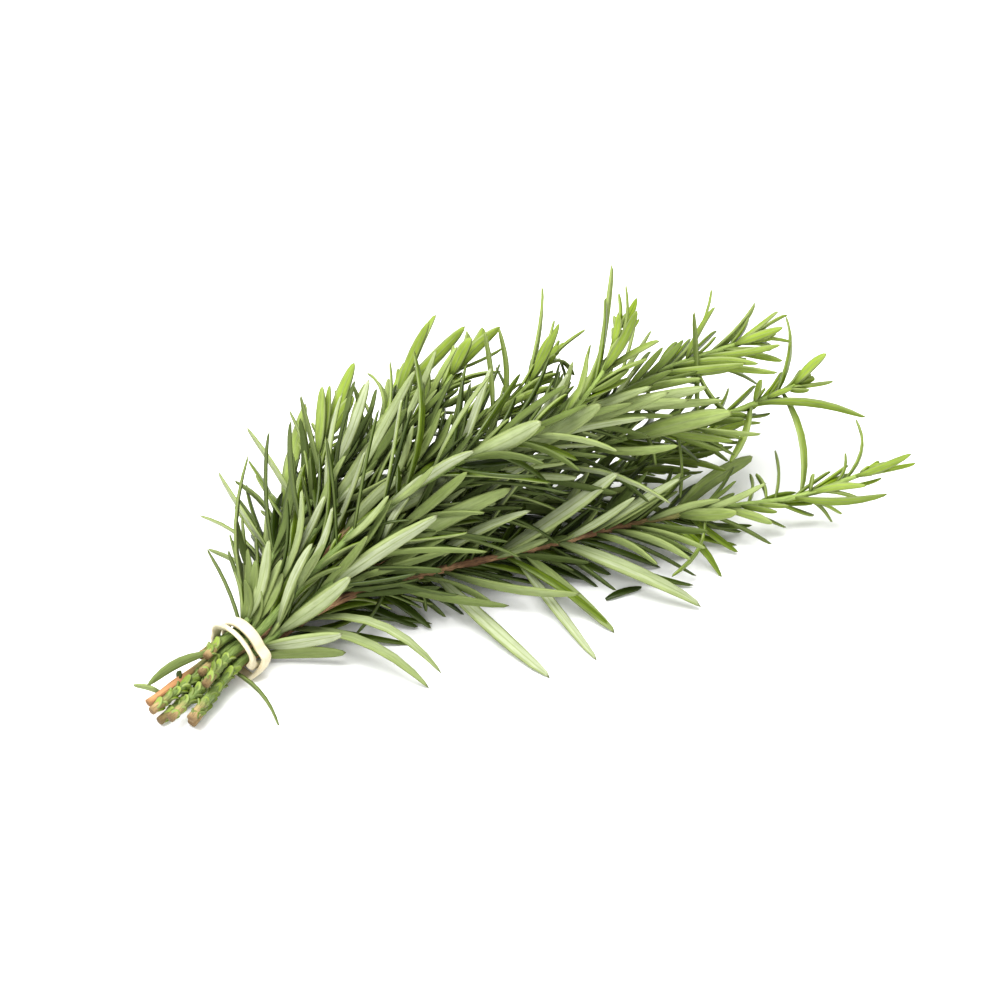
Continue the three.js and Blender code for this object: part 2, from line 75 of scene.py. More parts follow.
# The tie, as in the part's source.
TIE_MIDDLE = np.array([0.0, 1.8, 5.5])
TIE_HEADING = math.radians(10.0)
SEAT_RUN = 3.5

# The way to the viewer on the show side.
TOWARD_VIEWER = np.array([-0.426, -0.565, 0.707])

# The stretches of the front sprig's stem, between distances along it, that no more leaves may hide.
BARE_STRETCHES = ((34.0, 48.0), (68.0, 80.0))

# The sprig whose cut end is peeled of its bark, and where a bud is left on it.
PEELED_SPRIG = "sprig_far_left"
PEELED_BUD_AT = 9.0

# A fallen leaf that lies on the surface by the front sprig: its ends and width.
FALLEN_LEAF = ((73.1, -30.4, 0.9), (81.7, -32.4, 0.9), 1.9)

Spot = tuple[float, float, float]
Colour = tuple[float, float, float]

# From one value to another, and what is had at each of them.
Window = tuple[float, ...]


@dataclass(frozen=True)
class Placed:
    """A leaf placed one by one.

    Attributes:
        distance: where it leaves the stem, from the cut end.
        tip: where its tip is.
        width: its full width.
        bow: how far its middle stands off the straight line.
        roll: the turn of its face about the leaf, in degrees.
    """

    distance: float
    tip: Spot
    width: float
    bow: float
    roll: float = 0.0


@dataclass(frozen=True)
class Extra:
    """A leaf placed one by one that no node holds.

    Attributes:
        distance: where it leaves the stem, from the cut end.
        tip: where its tip is.
        width: its full width.
        tone: its shade, from -1 to 1; on the dark ones low under the front stem it is painted shade.
    """

    distance: float
    tip: Spot
    width: float
    tone: float


@dataclass(frozen=True)
class SprigPlan:
    """How one sprig lies in the bunch.

    Attributes:
        name: its node in the frame.
        cut: the middle of its cut end.
        seat: its place in the tie, across and up from the tie's middle.
        route: the points that its stem passes beyond the tie.
        radius: the stem's radius at the cut end and at the tip.
        woody: the distances between which the stem is brown. They lie past its end where none of it is.
        placed: the leaves placed one by one.
        extra: the leaves placed one by one that no node holds.
    """

    name: str
    cut: Spot
    seat: tuple[float, float]
    route: tuple[Spot, ...]
    radius: tuple[float, float]
    woody: tuple[float, float] = (200.0, 201.0)
    placed: tuple[Placed, ...] = ()
    extra: tuple[Extra, ...] = ()


SPRIGS = (
    SprigPlan(
        name="sprig_front",
        cut=(-18, -7.2, 1.7),
        seat=(-2.18, -2.6),
        route=(
            (22, -2.5, 9), (44, -8, 9), (64, -15, 9), (84, -21.5, 9), (103, -29, 9), (121, -38, 9.5),
            (136.5, -44.5, 13.5),
        ),
        radius=(1.05, 0.5),
        woody=(14, 118),
        placed=(
            Placed(16, (-4, -19, 2), 2, 1.8, 12),
            Placed(22, (18, -12, 4), 3.6, 1),
            Placed(34, (32, -27, 1), 2.4, 7),
            Placed(31, (28, -28, 0), 2.6, 5),
            Placed(55, (22, -10, 5), 1.8, 1),
            Placed(62, (49, -23, 8), 2.2, 2),
            Placed(65, (50, -41, 0), 3.2, -0.9, 12),
            Placed(67, (65, -32, 9), 2.8, -0.5),
            Placed(79, (82, -23, 28), 4.2, 2),
            Placed(83, (61, -43, 0), 2.4, -1),
            Placed(85, (69, -39, 0), 3, 0),
            Placed(93, (88, -45, 1), 4, 2),
            Placed(98, (91, -39, 1), 1.8, -1),
            Placed(102, (83, -36, 10), 2.2, 1),
            Placed(106, (89, -40, 11), 2.2, 1),
            Placed(110, (93, -40, 12), 1.8, 1),
            Placed(113, (96, -37, 13), 1.8, 0.5),
            Placed(117, (98, -40, 0), 2.2, 2),
            Placed(119, (124, -19, 5), 4.6, -1),
            Placed(121, (104, -37, 14), 3, 1),
            Placed(123, (105, -37, 1), 2, 0),
            Placed(127, (86, -34, 2), 2, 3, 2),
            Placed(130, (117, -39, 3), 2.2, 1),
            Placed(137, (120, -23, 5), 2, 1),
            Placed(135, (113, -40, 11), 1.6, 0),
            Placed(143, (128, -22, 7), 2.2, 1),
            Placed(147, (133, -53, 15), 2, -1.5),
            Placed(149, (124, -46, 6), 2, 1),
            Placed(151, (125, -38, 14), 1.6, 0),
            Placed(157, (134, -38, 15), 2, 1),
            Placed(159, (143, -31, 15), 1.8, 2.8, 6),
            Placed(161, (143, -49, 18), 1.8, 0),
        ),
        extra=(
            Extra(131, (110, -42, 11), 2.4, -0.1),
            Extra(141, (117, -28, 11), 2.0, 0.6),
            # Dark, low under the stem: its high tone is painted shade.
            Extra(60, (39, -12, 3), 2.0, 0.9),
        ),
    ),
    SprigPlan(
        name="sprig_under",
        cut=(-23, -2.6, 1.6),
        seat=(0.76, -3.36),
        route=((22, 2, 5), (46, 3, 6), (72, -2, 7), (97, -8, 8), (122, -14, 12)),
        radius=(0.95, 0.5),
        placed=(
            Placed(40, (39, -14, 1), 1.8, 1),
            Placed(36, (33, -16, 0), 1.8, 1),
            Placed(90, (75, -9, 11), 1.6, 1),
            Placed(120, (104, -21, 14), 1.8, 1),
            Placed(128, (111, -25, 13), 2, 1),
        ),
        extra=(
            # Dark, low under the front stem: their high tone is painted shade.
            Extra(40, (35, -10, 1), 2.2, 0.9),
            Extra(50, (36, -13, 1), 2.2, 1.0),
            Extra(55, (38, -15, 1), 2.2, 0.9),
            Extra(60, (42, -15, 2), 2.2, 1.0),
            Extra(65, (45, -14, 3), 2.2, 0.8),
        ),
    ),
    SprigPlan(
        name="sprig_right",
        cut=(-22, -5.4, 4.3),
        seat=(-1.22, -0.46),
        route=(
            (21, -2.5, 13), (47, -5, 19), (68, -7, 23), (88, -12, 25), (107, -18, 24), (122, -20, 23),
            (135.5, -20.5, 22.3),
        ),
        radius=(1, 0.5),
        woody=(22, 72),
        placed=(
            Placed(57, (58, -17, 33), 3.8, 0),
            Placed(87, (73, -19, 16), 1.8, 1),
            Placed(119, (106, -31, 38), 4, 2),
            Placed(124, (95, -20, 20), 1.8, 0.5),
            Placed(127, (107, -31, 29), 1.8, 1),
            Placed(131, (98, -25, 12), 1.8, 0.9, 19),
            Placed(136, (114, -8, 46), 2, 1),
            Placed(139, (121, -13, 23), 2.2, 1),
            Placed(144, (112, -13, 31), 2.2, -1),
            Placed(150, (111, -26, 16), 3, 1),
            Placed(151, (136, -41, 27), 2.2, 2),
            Placed(151, (125, -19, 28), 2, 0),
            Placed(157, (145, -4, 25), 2.2, 2.5, -27),
            Placed(158, (122, -37, 8), 2.8, 2.2, 62),
            Placed(162, (141, -22, 29), 2.4, 0),
        ),
        extra=(
            Extra(130, (116, -24, 19), 2.4, 0.3),
        ),
    ),
    SprigPlan(
        name="sprig_upper_right",
        cut=(-19, -8.8, 5.2),
        seat=(-3.44, 0),
        route=((20, -5, 18), (40, -6, 26), (63, -7, 32), (88, -8, 33), (107, -8, 33), (131, -11.5, 32)),
        radius=(1, 0.5),
        placed=(
            Placed(25, (16, -14, 13), 4.4, 0.5),
            Placed(29, (20, -12, 26), 3.6, 1),
            Placed(29, (15, -6, 34), 2.6, 0),
            Placed(45, (41, -14, 33), 4, 0),
            Placed(67, (51, -17, 30), 1.8, 1),
            Placed(91, (80, -19, 46), 4.2, 1.5),
            Placed(113, (100, -18, 44), 2, 1),
            Placed(119, (104, -23, 43), 1.8, 1),
            Placed(134, (130, 5, 35), 2.4, 2),
            Placed(139, (130, -13, 19), 2.2, 2),
            Placed(140, (120, -8, 44), 1.6, 0),
            Placed(145, (137, -2, 32), 2.8, 1),
            Placed(149, (128, -22, 34), 2, 1),
            Placed(151, (133, -5, 32), 2, 1),
            Placed(152, (132, -17, 38), 2, 0),
        ),
        extra=(
            Extra(26, (14, -1, 21), 2.6, 0.2),
            Extra(100, (95, -23, 44), 2.6, 0.0),
            Extra(106, (99, -25, 41), 2.4, 0.2),
            Extra(112, (104, -25, 42), 2.8, -0.2),
            Extra(96, (92, -21, 46), 2.4, 0.1),
            Extra(116, (107, -27, 38), 2.6, 0.0),
            Extra(92, (87, -21, 44), 2.2, 0.3),
            Extra(139, (124, -25, 35), 2.0, -0.1),
            Extra(136, (121, -22, 37), 2.0, 0.1),
            Extra(143, (128, -21, 38), 1.8, -0.2),
            Extra(132, (118, -21, 38), 2.0, 0.0),
        ),
    ),
    SprigPlan(
        name="sprig_crest",
        cut=(-13, -5.5, 8.8),
        seat=(-2.1, 2.69),
        route=((18, -2, 21), (36, -4, 31), (56, -10, 40), (72, -16, 45), (84, -14, 49), (92, -9, 54)),
        radius=(0.95, 0.45),
        placed=(
            Placed(37, (28, -7, 28), 2.2, 1),
            Placed(51, (63, -1, 27), 4, 0),
            Placed(76, (61, -23, 55), 4, 2),
            Placed(100, (80, -14, 57), 1.8, 1),
            Placed(103, (90, -6, 48), 3, 1),
            Placed(108, (102, 6, 54), 3, 0),
            Placed(109, (93, -1, 54), 2.2, 1),
            Placed(111, (102, -11, 46), 2.4, 1),
            Placed(112, (92, -15, 63), 2.2, 1),
            Placed(114, (91, -10, 65), 2.2, 2.2, -71),
        ),
    ),
    SprigPlan(
        name="sprig_middle",
        cut=(-24, -1.4, 4.3),
        seat=(0.97, -0.81),
        route=((19, 3, 15.5), (36, 3, 25), (54, 1, 34), (71, 0, 38), (85, 4, 41)),
        radius=(0.92, 0.45),
        woody=(20, 62),
        placed=(
            Placed(58, (42, 0, 33), 2.8, 1),
            Placed(76, (54, 2, 44), 2.2, 1),
            Placed(80, (56, 1, 42), 2.2, 1),
            Placed(99, (69, 7, 54), 2, 1),
            Placed(102, (72, 6, 54), 1.8, 1),
            Placed(108, (94, 20, 44), 2.6, 1),
            Placed(110, (85, 2, 51), 1.8, 0),
            Placed(112, (84, 3, 48), 1.8, 0),
            Placed(114, (91, 4, 31), 1.8, 3),
        ),
        extra=(
            Extra(29, (14, 2, 17), 2.4, 0.0),
        ),
    ),
    SprigPlan(
        name="sprig_upper_middle",
        cut=(-11.5, -1.5, 7.8),
        seat=(0.2, 1.5),
        route=((16, 4, 19), (31, 7, 27), (48, 10, 32), (62, 14, 35), (72, 18, 37)),
        radius=(0.92, 0.45),
        placed=(
            Placed(18.5, (13, 3, 19), 2.2, 0),
            Placed(45.5, (48, 20, 24), 3.3, 1),
            Placed(88.5, (72, 16, 44), 2.8, 0),
            Placed(89.5, (79, 15, 44), 2.6, 1),
            Placed(91.5, (78, 26, 35), 2.4, 1),
            Placed(92.5, (81, 24, 34), 2.4, 1),
        ),
        extra=(
            Extra(16.5, (13, 3, 23), 2.4, 0.3),
            Extra(16.5, (8, 4, 16), 2.2, 0.4),
        ),
    ),
    SprigPlan(
        name="sprig_upper_left",
        cut=(-9, 0, 10),
        seat=(1.26, 3.36),
        route=((14, 9.5, 16.5), (30, 15, 22), (48, 22, 23), (67, 31.5, 23.5)),
        radius=(0.9, 0.45),
        placed=(
            Placed(2, (-22, 3, 7), 2.2, 2),
            Placed(24, (31, 20, 11), 3.2, 1),
            Placed(72, (60, 39, 23), 2.4, 1.7, -29),
            Placed(70, (66, 39, 20), 3, 0),
            Placed(79, (71, 30, 39), 2.4, 1),
            Placed(82, (77, 25, 36), 2.8, 0),
            Placed(83, (80, 40, 29), 2.4, 0),
        ),
        extra=(
            Extra(14, (9, 7, 22), 2.6, 0.4),
            Extra(14, (12, 6, 27), 2.8, -0.1),
            Extra(14, (6, 7, 18), 2.2, 0.5),
        ),
    ),
    SprigPlan(
        name="sprig_left",
        cut=(-9, 2.5, 8),
        seat=(3.11, 1.51),
        route=((12, 9, 11), (24, 17, 15), (38, 27, 18), (48, 34.5, 19.5)),
        radius=(0.9, 0.45),
        placed=(
            Placed(13, (15, 27, 8), 3.2, 1),
            Placed(20, (25, 25, 6), 3, 1),
            Placed(38, (28, 36, 13), 2.2, 0),
            Placed(57, (47, 37, 28), 2.6, 1),
            Placed(62, (53, 34, 24), 3.2, 1),
            Placed(64, (57, 39, 28), 2.8, 1),
        ),
        extra=(
            Extra(13.5, (9, 17, 13), 2.4, 0.3),
            Extra(13.5, (12, 22, 16), 2.0, 0.8),
            Extra(13.5, (16, 23, 18), 2.4, 0.4),
            Extra(13.5, (9, 10, 23), 2.2, 0.5),
        ),
    ),
    SprigPlan(
        name="sprig_far_left",
        cut=(-23, 1.6, 3.4),
        seat=(3.11, -1.51),
        route=((10, 8, 6), (18, 16, 8), (29, 27, 10), (36, 33.5, 12)),
        radius=(0.9, 0.45),
        woody=(-10, 14),
        placed=(
            Placed(4, (-22, 9, 2), 1.6, 0.5),
            Placed(30, (18, 22, 36), 1.8, 3.7, 127),
            Placed(31, (7, 18, 15), 1.6, 0),
            Placed(34, (20, 22, 12), 2.2, 0),
            Placed(36, (13, 19, 22), 1.8, 1.1, 73),
            Placed(40, (12, 32, 3), 2.2, 1),
            Placed(60, (45, 41, 21), 3, 1),
            Placed(61, (42, 44, 6), 2.2, 1),
        ),
        extra=(
            Extra(27, (9, 27, 9), 2.0, 0.6),
        ),
    ),
)


class Member(Enum):
    """The leaves of a pair and the short one in its axil.

    Each value is its length, spread and width beside the pair's, how far up the stem from the pair it
    stands, and its turn about the stem.
    """

    NEAR = (1.0, 1.0, 1.0, 0.0, 0.0)
    FAR = (1.0, 1.0, 1.0, 0.0, 180.0)
    AXIL = (0.45, 0.75, 0.75, 3.0, 90.0)


class Jitter(Enum):
    """What differs at random from leaf to leaf: the number of its draw and the most that it differs by."""

    TURN = (1, 26.0)
    SPREAD = (2, 13.0)
    LENGTH = (3, 0.14)
    PLACE = (4, 0.8)
    BOW = (5, 0.09)
    ROLL = (6, 22.0)
    WIDTH = (7, 0.25)
    SWAY = (8, 0.05)
    TWIST = (9, 26.0)
    TONE = (10, 1.0)


def draw(sprig: int, leaf: int, use: int) -> float:
    """Returns a repeatable number from 0 to 1: the fraction of a large multiple of a sine of the three."""
    mixed = math.sin(sprig * 12.9898 + leaf * 78.233 + use * 37.719) * 43758.5453
    return mixed - math.floor(mixed)


def jitter(sprig: int, leaf: int, kind: Jitter) -> float:
    """Returns the leaf's own difference of that kind, between minus and plus the most it may be."""
    use, size = kind.value
    return (draw(sprig, leaf, use) * 2 - 1) * size


def smoothstep(value: float | np.ndarray, low: float, high: float) -> float | np.ndarray:
    """Returns 0 below low, 1 above high, and between them 3x^2 - 2x^3 of the share of the way."""
    share = np.clip((value - low) / (high - low), 0, 1)
    return share * share * (3 - 2 * share)


def lerp(start: float, end: float, share: float) -> float:
    """Returns the number that lies that share of the way from start to end."""
    return start + (end - start) * share


def unit(vector: np.ndarray) -> np.ndarray:
    """Returns the vectors in the last axis at length 1."""
    return vector / np.linalg.norm(vector, axis=-1, keepdims=True)


def spun(vector: np.ndarray, axis: np.ndarray, degrees: float) -> np.ndarray:
    """Returns a vector square to a unit axis, turned about it by that angle."""
    angle = math.radians(degrees)
    return vector * math.cos(angle) + np.cross(axis, vector) * math.sin(angle)


def in_tie(along: np.ndarray | float, across: np.ndarray | float, up: np.ndarray | float) -> np.ndarray:
    """Places points given along the tie's axis, across it and up, from its middle.

    Args:
        along: how far along the axis.
        across: how far across it.
        up: how far above it.

    Returns:
        the points: the middle, plus each distance times the unit vector its own way.
    """
    heading = np.array([math.cos(TIE_HEADING), math.sin(TIE_HEADING), 0.0])
    sideways = np.array([-math.sin(TIE_HEADING), math.cos(TIE_HEADING), 0.0])
    along, across, up = (np.asarray(part, float)[..., None] for part in (along, across, up))
    return TIE_MIDDLE + along * heading + across * sideways + up * UP


# ---- meshes


@dataclass
class Tubes:
    """Closed tubes of one form: rings carried along paths, with a point at each end.

    Attributes:
        rings: (tubes, rings, corners, 3), each ring counter-clockwise seen from where the tube goes.
        ends: (tubes, 2, 3), the first and last points.
    """

    rings: np.ndarray
    ends: np.ndarray

    def spots(self) -> np.ndarray:
        """Lists the vertices: of each tube, its rings and then its two ends.

        Returns:
            (vertices, 3).
        """
        tubes, rings, corners, _ = self.rings.shape
        flat = self.rings.reshape(tubes, rings * corners, 3)
        return np.concatenate([flat, self.ends], axis=1).reshape(-1, 3)

    def faces(self) -> list[list[int]]:
        """Lists the faces: quads between one ring and the next, and a fan of triangles at each end.

        Returns:
            each face as the numbers of its vertices, counter-clockwise from outside.
        """
        tubes, rings, corners, _ = self.rings.shape
        own = rings * corners
        corner = np.arange(corners)
        after = (corner + 1) % corners
        row = np.arange(rings - 1)[:, None] * corners
        quads = np.stack([row + corner, row + after, row + corners + after, row + corners + corner], -1)
        top = (rings - 1) * corners
        first = np.stack([np.full(corners, own), after, corner], -1)
        last = np.stack([np.full(corners, own + 1), top + corner, top + after], -1)
        starts = np.arange(tubes)[:, None, None] * (own + 2)
        quads = (quads.reshape(1, -1, 4) + starts).reshape(-1, 4)
        fans = (np.concatenate([first, last])[None] + starts).reshape(-1, 3)
        return quads.tolist() + fans.tolist()

    def spread(self, on_rings: np.ndarray, on_ends: np.ndarray) -> np.ndarray:
        """Spreads values over the vertices.

        Args:
            on_rings: values that fill out to (tubes, rings, corners, ...).
            on_ends: values that fill out to (tubes, 2, ...).

        Returns:
            one value, or row of values, for each vertex.
        """
        tubes, rings, corners, _ = self.rings.shape
        depth = on_rings.shape[3:]
        flat = np.broadcast_to(on_rings, (tubes, rings, corners, *depth)).reshape(tubes, -1, *depth)
        ends = np.broadcast_to(on_ends, (tubes, 2, *depth))
        return np.concatenate([flat, ends], axis=1).reshape(-1, *depth)


@dataclass
class Piece:
    """One finished piece of the scene.

    Attributes:
        name: the piece's name.
        spots: its vertices, about the tie.
        faces: its faces.
        values: what its material reads at each vertex, by name.
    """

    name: str
    spots: np.ndarray
    faces: list[list[int]]
    values: dict[str, np.ndarray] = field(default_factory=dict)

    def build(self, shift: np.ndarray, material: bpy.types.Material, node: str, slot: str) -> None:
        """Makes the object, dressed, in the frame and in place of its node.

        Args:
            shift: from the tie's frame to the model's.
            material: what it is made of.
            node: the node that it stands for.
            slot: not used.
        """
        mesh = bpy.data.meshes.new(self.name)
        mesh.from_pydata(((self.spots + shift) * MM).tolist(), [], self.faces)
        for name, values in self.values.items():
            kind, key = ("FLOAT", "value") if values.ndim == 1 else ("FLOAT_VECTOR", "vector")
            layer = mesh.attributes.new(name, kind, "POINT")
            layer.data.foreach_set(key, values.astype(np.float32).ravel())
        mesh.polygons.foreach_set("use_smooth", np.ones(len(mesh.polygons), bool))
        mesh.materials.append(material)
        mesh.validate()
        made = bpy.data.objects.new(self.name, mesh)
        bpy.context.scene.collection.objects.link(made)
        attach(made, BODY)
        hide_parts(node)
        LOG.info("%s: %d faces", self.name, len(mesh.polygons))


# ---- stems


@dataclass
class StemLine:
    """The smooth line of a stem: a centripetal Catmull-Rom curve, measured by its length.

    Attributes:
        plan: how its sprig lies.
        fineness: the steps in which its length is measured.
        spots: the points that it passes, with one more at each end.
        lengths: its length up to each step.
        stances: the points and directions found so far, by distance.
    """

    plan: SprigPlan
    fineness: int = 400
    spots: np.ndarray = field(init=False)
    lengths: np.ndarray = field(init=False)
    stances: dict[float, tuple[np.ndarray, np.ndarray]] = field(default_factory=dict)

    def __post_init__(self) -> None:
        """Lays the points out, with one more at each end, and measures the line."""
        seats = [in_tie(run, *self.plan.seat) for run in (-SEAT_RUN, SEAT_RUN)]
        spots = np.array([self.plan.cut, *seats, *self.plan.route], float)
        before, after = 2 * spots[0] - spots[1], 2 * spots[-1] - spots[-2]
        self.spots = np.vstack([before, spots, after])
        line = self.at_share(np.linspace(0, 1, self.fineness + 1))
        steps = np.linalg.norm(np.diff(line, axis=0), axis=1)
        self.lengths = np.concatenate([[0], np.cumsum(steps)])

    @property
    def length(self) -> float:
        """Returns the stem's length."""
        return float(self.lengths[-1])

    @property
    def past_tie(self) -> float:
        """Returns the distance at which the stem's straight run through the tie ends."""
        return float(self.lengths[round(self.fineness * 2 / (len(self.spots) - 3))])

    def at_share(self, shares: np.ndarray) -> np.ndarray:
        """Finds points by the curve's own parameter.

        Each span is a cubic whose tangents are those of the parabola through three points, which are
        spaced by the square roots of their distances.

        Args:
            shares: the parameter, from 0 to 1.

        Returns:
            (points, 3).
        """
        spans = len(self.spots) - 3
        place = np.clip(np.atleast_1d(shares), 0, 1) * spans
        first = np.minimum(place.astype(int), spans - 1)
        share = (place - first)[:, None]
        a, b, c, d = (self.spots[first + step] for step in range(4))
        ab, bc, cd = (np.linalg.norm(q - p, axis=1)[:, None] ** 0.5 for p, q in ((a, b), (b, c), (c, d)))
        leaving = ((b - a) / ab - (c - a) / (ab + bc) + (c - b) / bc) * bc
        arriving = ((c - b) / bc - (d - b) / (bc + cd) + (d - c) / cd) * bc
        square = (-3 * b + 3 * c - 2 * leaving - arriving) * share**2
        cube = (2 * b - 2 * c + leaving + arriving) * share**3
        return b + leaving * share + square + cube

    def shares_at(self, distances: np.ndarray | float) -> np.ndarray:
        """Returns the curve's parameter at distances along it."""
        return np.interp(distances, self.lengths, np.linspace(0, 1, self.fineness + 1))

    def at(self, distances: np.ndarray | float) -> np.ndarray:
        """Returns the points at distances along the stem."""
        found = self.at_share(self.shares_at(distances))
        return found if np.ndim(distances) else found[0]

    def direction_at(self, distances: np.ndarray | float) -> np.ndarray:
        """Finds the stem's directions: the step between two points close by.

        Args:
            distances: one distance along the stem, or several.

        Returns:
            one unit vector, or a row for each distance.
        """
        shares, near = np.atleast_1d(self.shares_at(distances)), 1e-4
        found = unit(self.at_share(shares + near) - self.at_share(shares - near))
        return found if np.ndim(distances) else found[0]

    def stance_at(self, distance: float) -> tuple[np.ndarray, np.ndarray]:
        """Finds how the stem stands at a distance along it, and keeps that.

        Args:
            distance: how far from the cut end.

        Returns:
            the point and the direction there.
        """
        if distance not in self.stances:
            self.stances[distance] = (self.at(distance), self.direction_at(distance))
        return self.stances[distance]


@dataclass
class Stem:
    """The stem of one sprig: square and green when young, round, brown and flaky where woody.

    Attributes:
        line: its middle line.
        nodes: the distances of its leaf pairs, where it swells.
        seed: which sprig it is.
        corners: how many a ring has.
        row_step: the distance between rings.
        rib: the height of its ribs, of its swellings and of its knobbles, as shares of its radius.
        swelling_reach: how far a swelling reaches along the stem.
        scarred: how woody it is by its cut end, fading over scar_fades.
        tip_taper: the length over which its tip narrows, to tip_share of its radius.
        wander_pace: how fast the knobbles turn about the stem, and knobble_pace come along it.
        young_from: the share of the stem from which it looks young.
        peeled_between: the distances between which the peeled part ends.
        wood_fades: the lengths over which brown gives way to green, at its start and its end.
        cut_share: how much of the cut's colour its first ring has.
        grain_pace: how fast the bark's pattern runs along it, and grain_step from sprig to sprig.
    """

    line: StemLine
    nodes: np.ndarray
    seed: int
    corners: int = 12
    row_step: float = 1.3
    rib: float = 0.07
    swelling: float = 0.16
    swelling_reach: float = 1.1
    knobble: float = 0.13
    scarred: float = 0.7
    tip_taper: float = 6.0
    tip_share: float = 0.35
    wander_pace: float = 0.23
    knobble_pace: float = 0.61
    young_from: float = 0.45
    peeled_between: tuple[float, float] = (8.0, 14.0)
    wood_fades: tuple[float, float] = (4.0, 12.0)
    scar_fades: tuple[float, float] = (1.0, 6.0)
    cut_share: float = 0.5
    grain_pace: float = 0.12
    grain_step: float = 7.0

    def piece(self) -> Piece:
        """Makes the stem as a piece.

        A ring's radius is the plan's, times 1 plus a term in the cosine of four times the angle for the
        ribs, a bell curve at each pair of leaves, and sines of distance and angle for the knobbles.

        Returns:
            a closed tube of such rings, with what the stem finish reads.
        """
        plan, length = self.line.plan, self.line.length
        distances = np.linspace(0, length, int(length / self.row_step))
        ahead = self.line.direction_at(distances)
        side = unit(np.cross(UP, ahead))
        lift = np.cross(ahead, side)
        angle = np.arange(self.corners) / self.corners * 2 * np.pi
        wood = self.wood_at(distances)
        nearest = np.abs(distances[:, None] - self.nodes).min(1)
        swell = self.swelling * np.exp(-((nearest / self.swelling_reach) ** 2))
        phase = draw(self.seed, 0, 20) * 2 * np.pi
        ribs = self.rib * np.cos(4 * angle + phase) * (1 - wood)[:, None]
        wander = np.sin(distances[:, None] * self.wander_pace)
        waves = np.sin(2 * angle + phase + wander) * np.sin(distances[:, None] * self.knobble_pace)
        radius = np.interp(distances, [0, length], plan.radius)
        radius = radius * np.clip((length - distances) / self.tip_taper + self.tip_share, 0, 1)
        radius = radius[:, None] * (1 + swell[:, None] + ribs + self.knobble * waves * wood[:, None])
        around = np.cos(angle)[:, None] * side[:, None] + np.sin(angle)[:, None] * lift[:, None]
        rings = self.line.at(distances)[:, None] + radius[..., None] * around
        rings[..., 2] = np.maximum(rings[..., 2], 0)
        tubes = Tubes(rings[None], self.line.at(distances[[0, -1]])[None])
        grain = self.grain(distances, angle)
        ring_cut = self.cut_share * (distances < 0.5 * self.row_step)
        youth = smoothstep(distances / length, self.young_from, 1)
        peeled = (1 - smoothstep(distances, *self.peeled_between)) * (plan.name == PEELED_SPRIG)
        return Piece(
            f"{plan.name}_stem",
            tubes.spots(),
            tubes.faces(),
            {
                "wood": tubes.spread(wood[None, :, None], wood[[0, -1]][None]),
                "youth": tubes.spread(youth[None, :, None], np.array([[0, 1]])),
                "cut": tubes.spread(ring_cut[None, :, None], np.array([[1, 0]])),
                "peeled": tubes.spread(peeled[None, :, None], peeled[[0, -1]][None]),
                "grain": tubes.spread(grain[None], grain[[0, -1]].mean(1)[None]),
            },
        )

    def wood_at(self, distances: np.ndarray) -> np.ndarray:
        """Finds how woody the stem is: also by its cut end.

        Args:
            distances: distances along the stem.

        Returns:
            a share from 0 to 1 for each, a product of smooth steps.
        """
        start, end = self.line.plan.woody
        at_start, at_end = self.wood_fades
        woody = smoothstep(distances, start - at_start, start + at_start)
        woody = woody * (1 - smoothstep(distances, end - at_end, end + at_end))
        return np.maximum(woody, self.scarred * (1 - smoothstep(distances, *self.scar_fades)))

    def grain(self, distances: np.ndarray, angle: np.ndarray) -> np.ndarray:
        """Lays out the bark's pattern: the ring unrolled, and drawn out along the stem.

        Args:
            distances: the rings, along the stem.
            angle: a ring's corners, about it.

        Returns:
            (rings, corners, 3): the cosine, the sine and a share of the distance.
        """
        shape = (len(distances), len(angle))
        across = np.broadcast_to(np.cos(angle), shape)
        out = np.broadcast_to(np.sin(angle), shape)
        along = np.broadcast_to(distances[:, None] * self.grain_pace + self.seed * self.grain_step, shape)
        return np.stack([across, out, along], -1)


# ---- leaves


@dataclass
class Leaf:
    """One leaf.

    Attributes:
        root: where it leaves the middle of its stem.
        tip: its tip.
        face: the way that its upper face looks.
        width: its full width.
        bow: how far its middle stands off the straight line, towards the face.
        sway: how far it stands off sideways, as a share of its length.
        twist: the turn of its blade from root to tip, in degrees.
        youth: 0 low on the stem to 1 at the tip.
        tone: its shade, from -1 to 1; on the dark leaves deep in the bunch it is painted shade.
    """

    root: np.ndarray
    tip: np.ndarray
    face: np.ndarray
    width: float
    bow: float
    sway: float = 0.0
    twist: float = 0.0
    youth: float = 0.0
    tone: float = 0.0

    @property
    def length(self) -> float:
        """Returns the straight distance from root to tip."""
        return float(np.linalg.norm(self.tip - self.root))


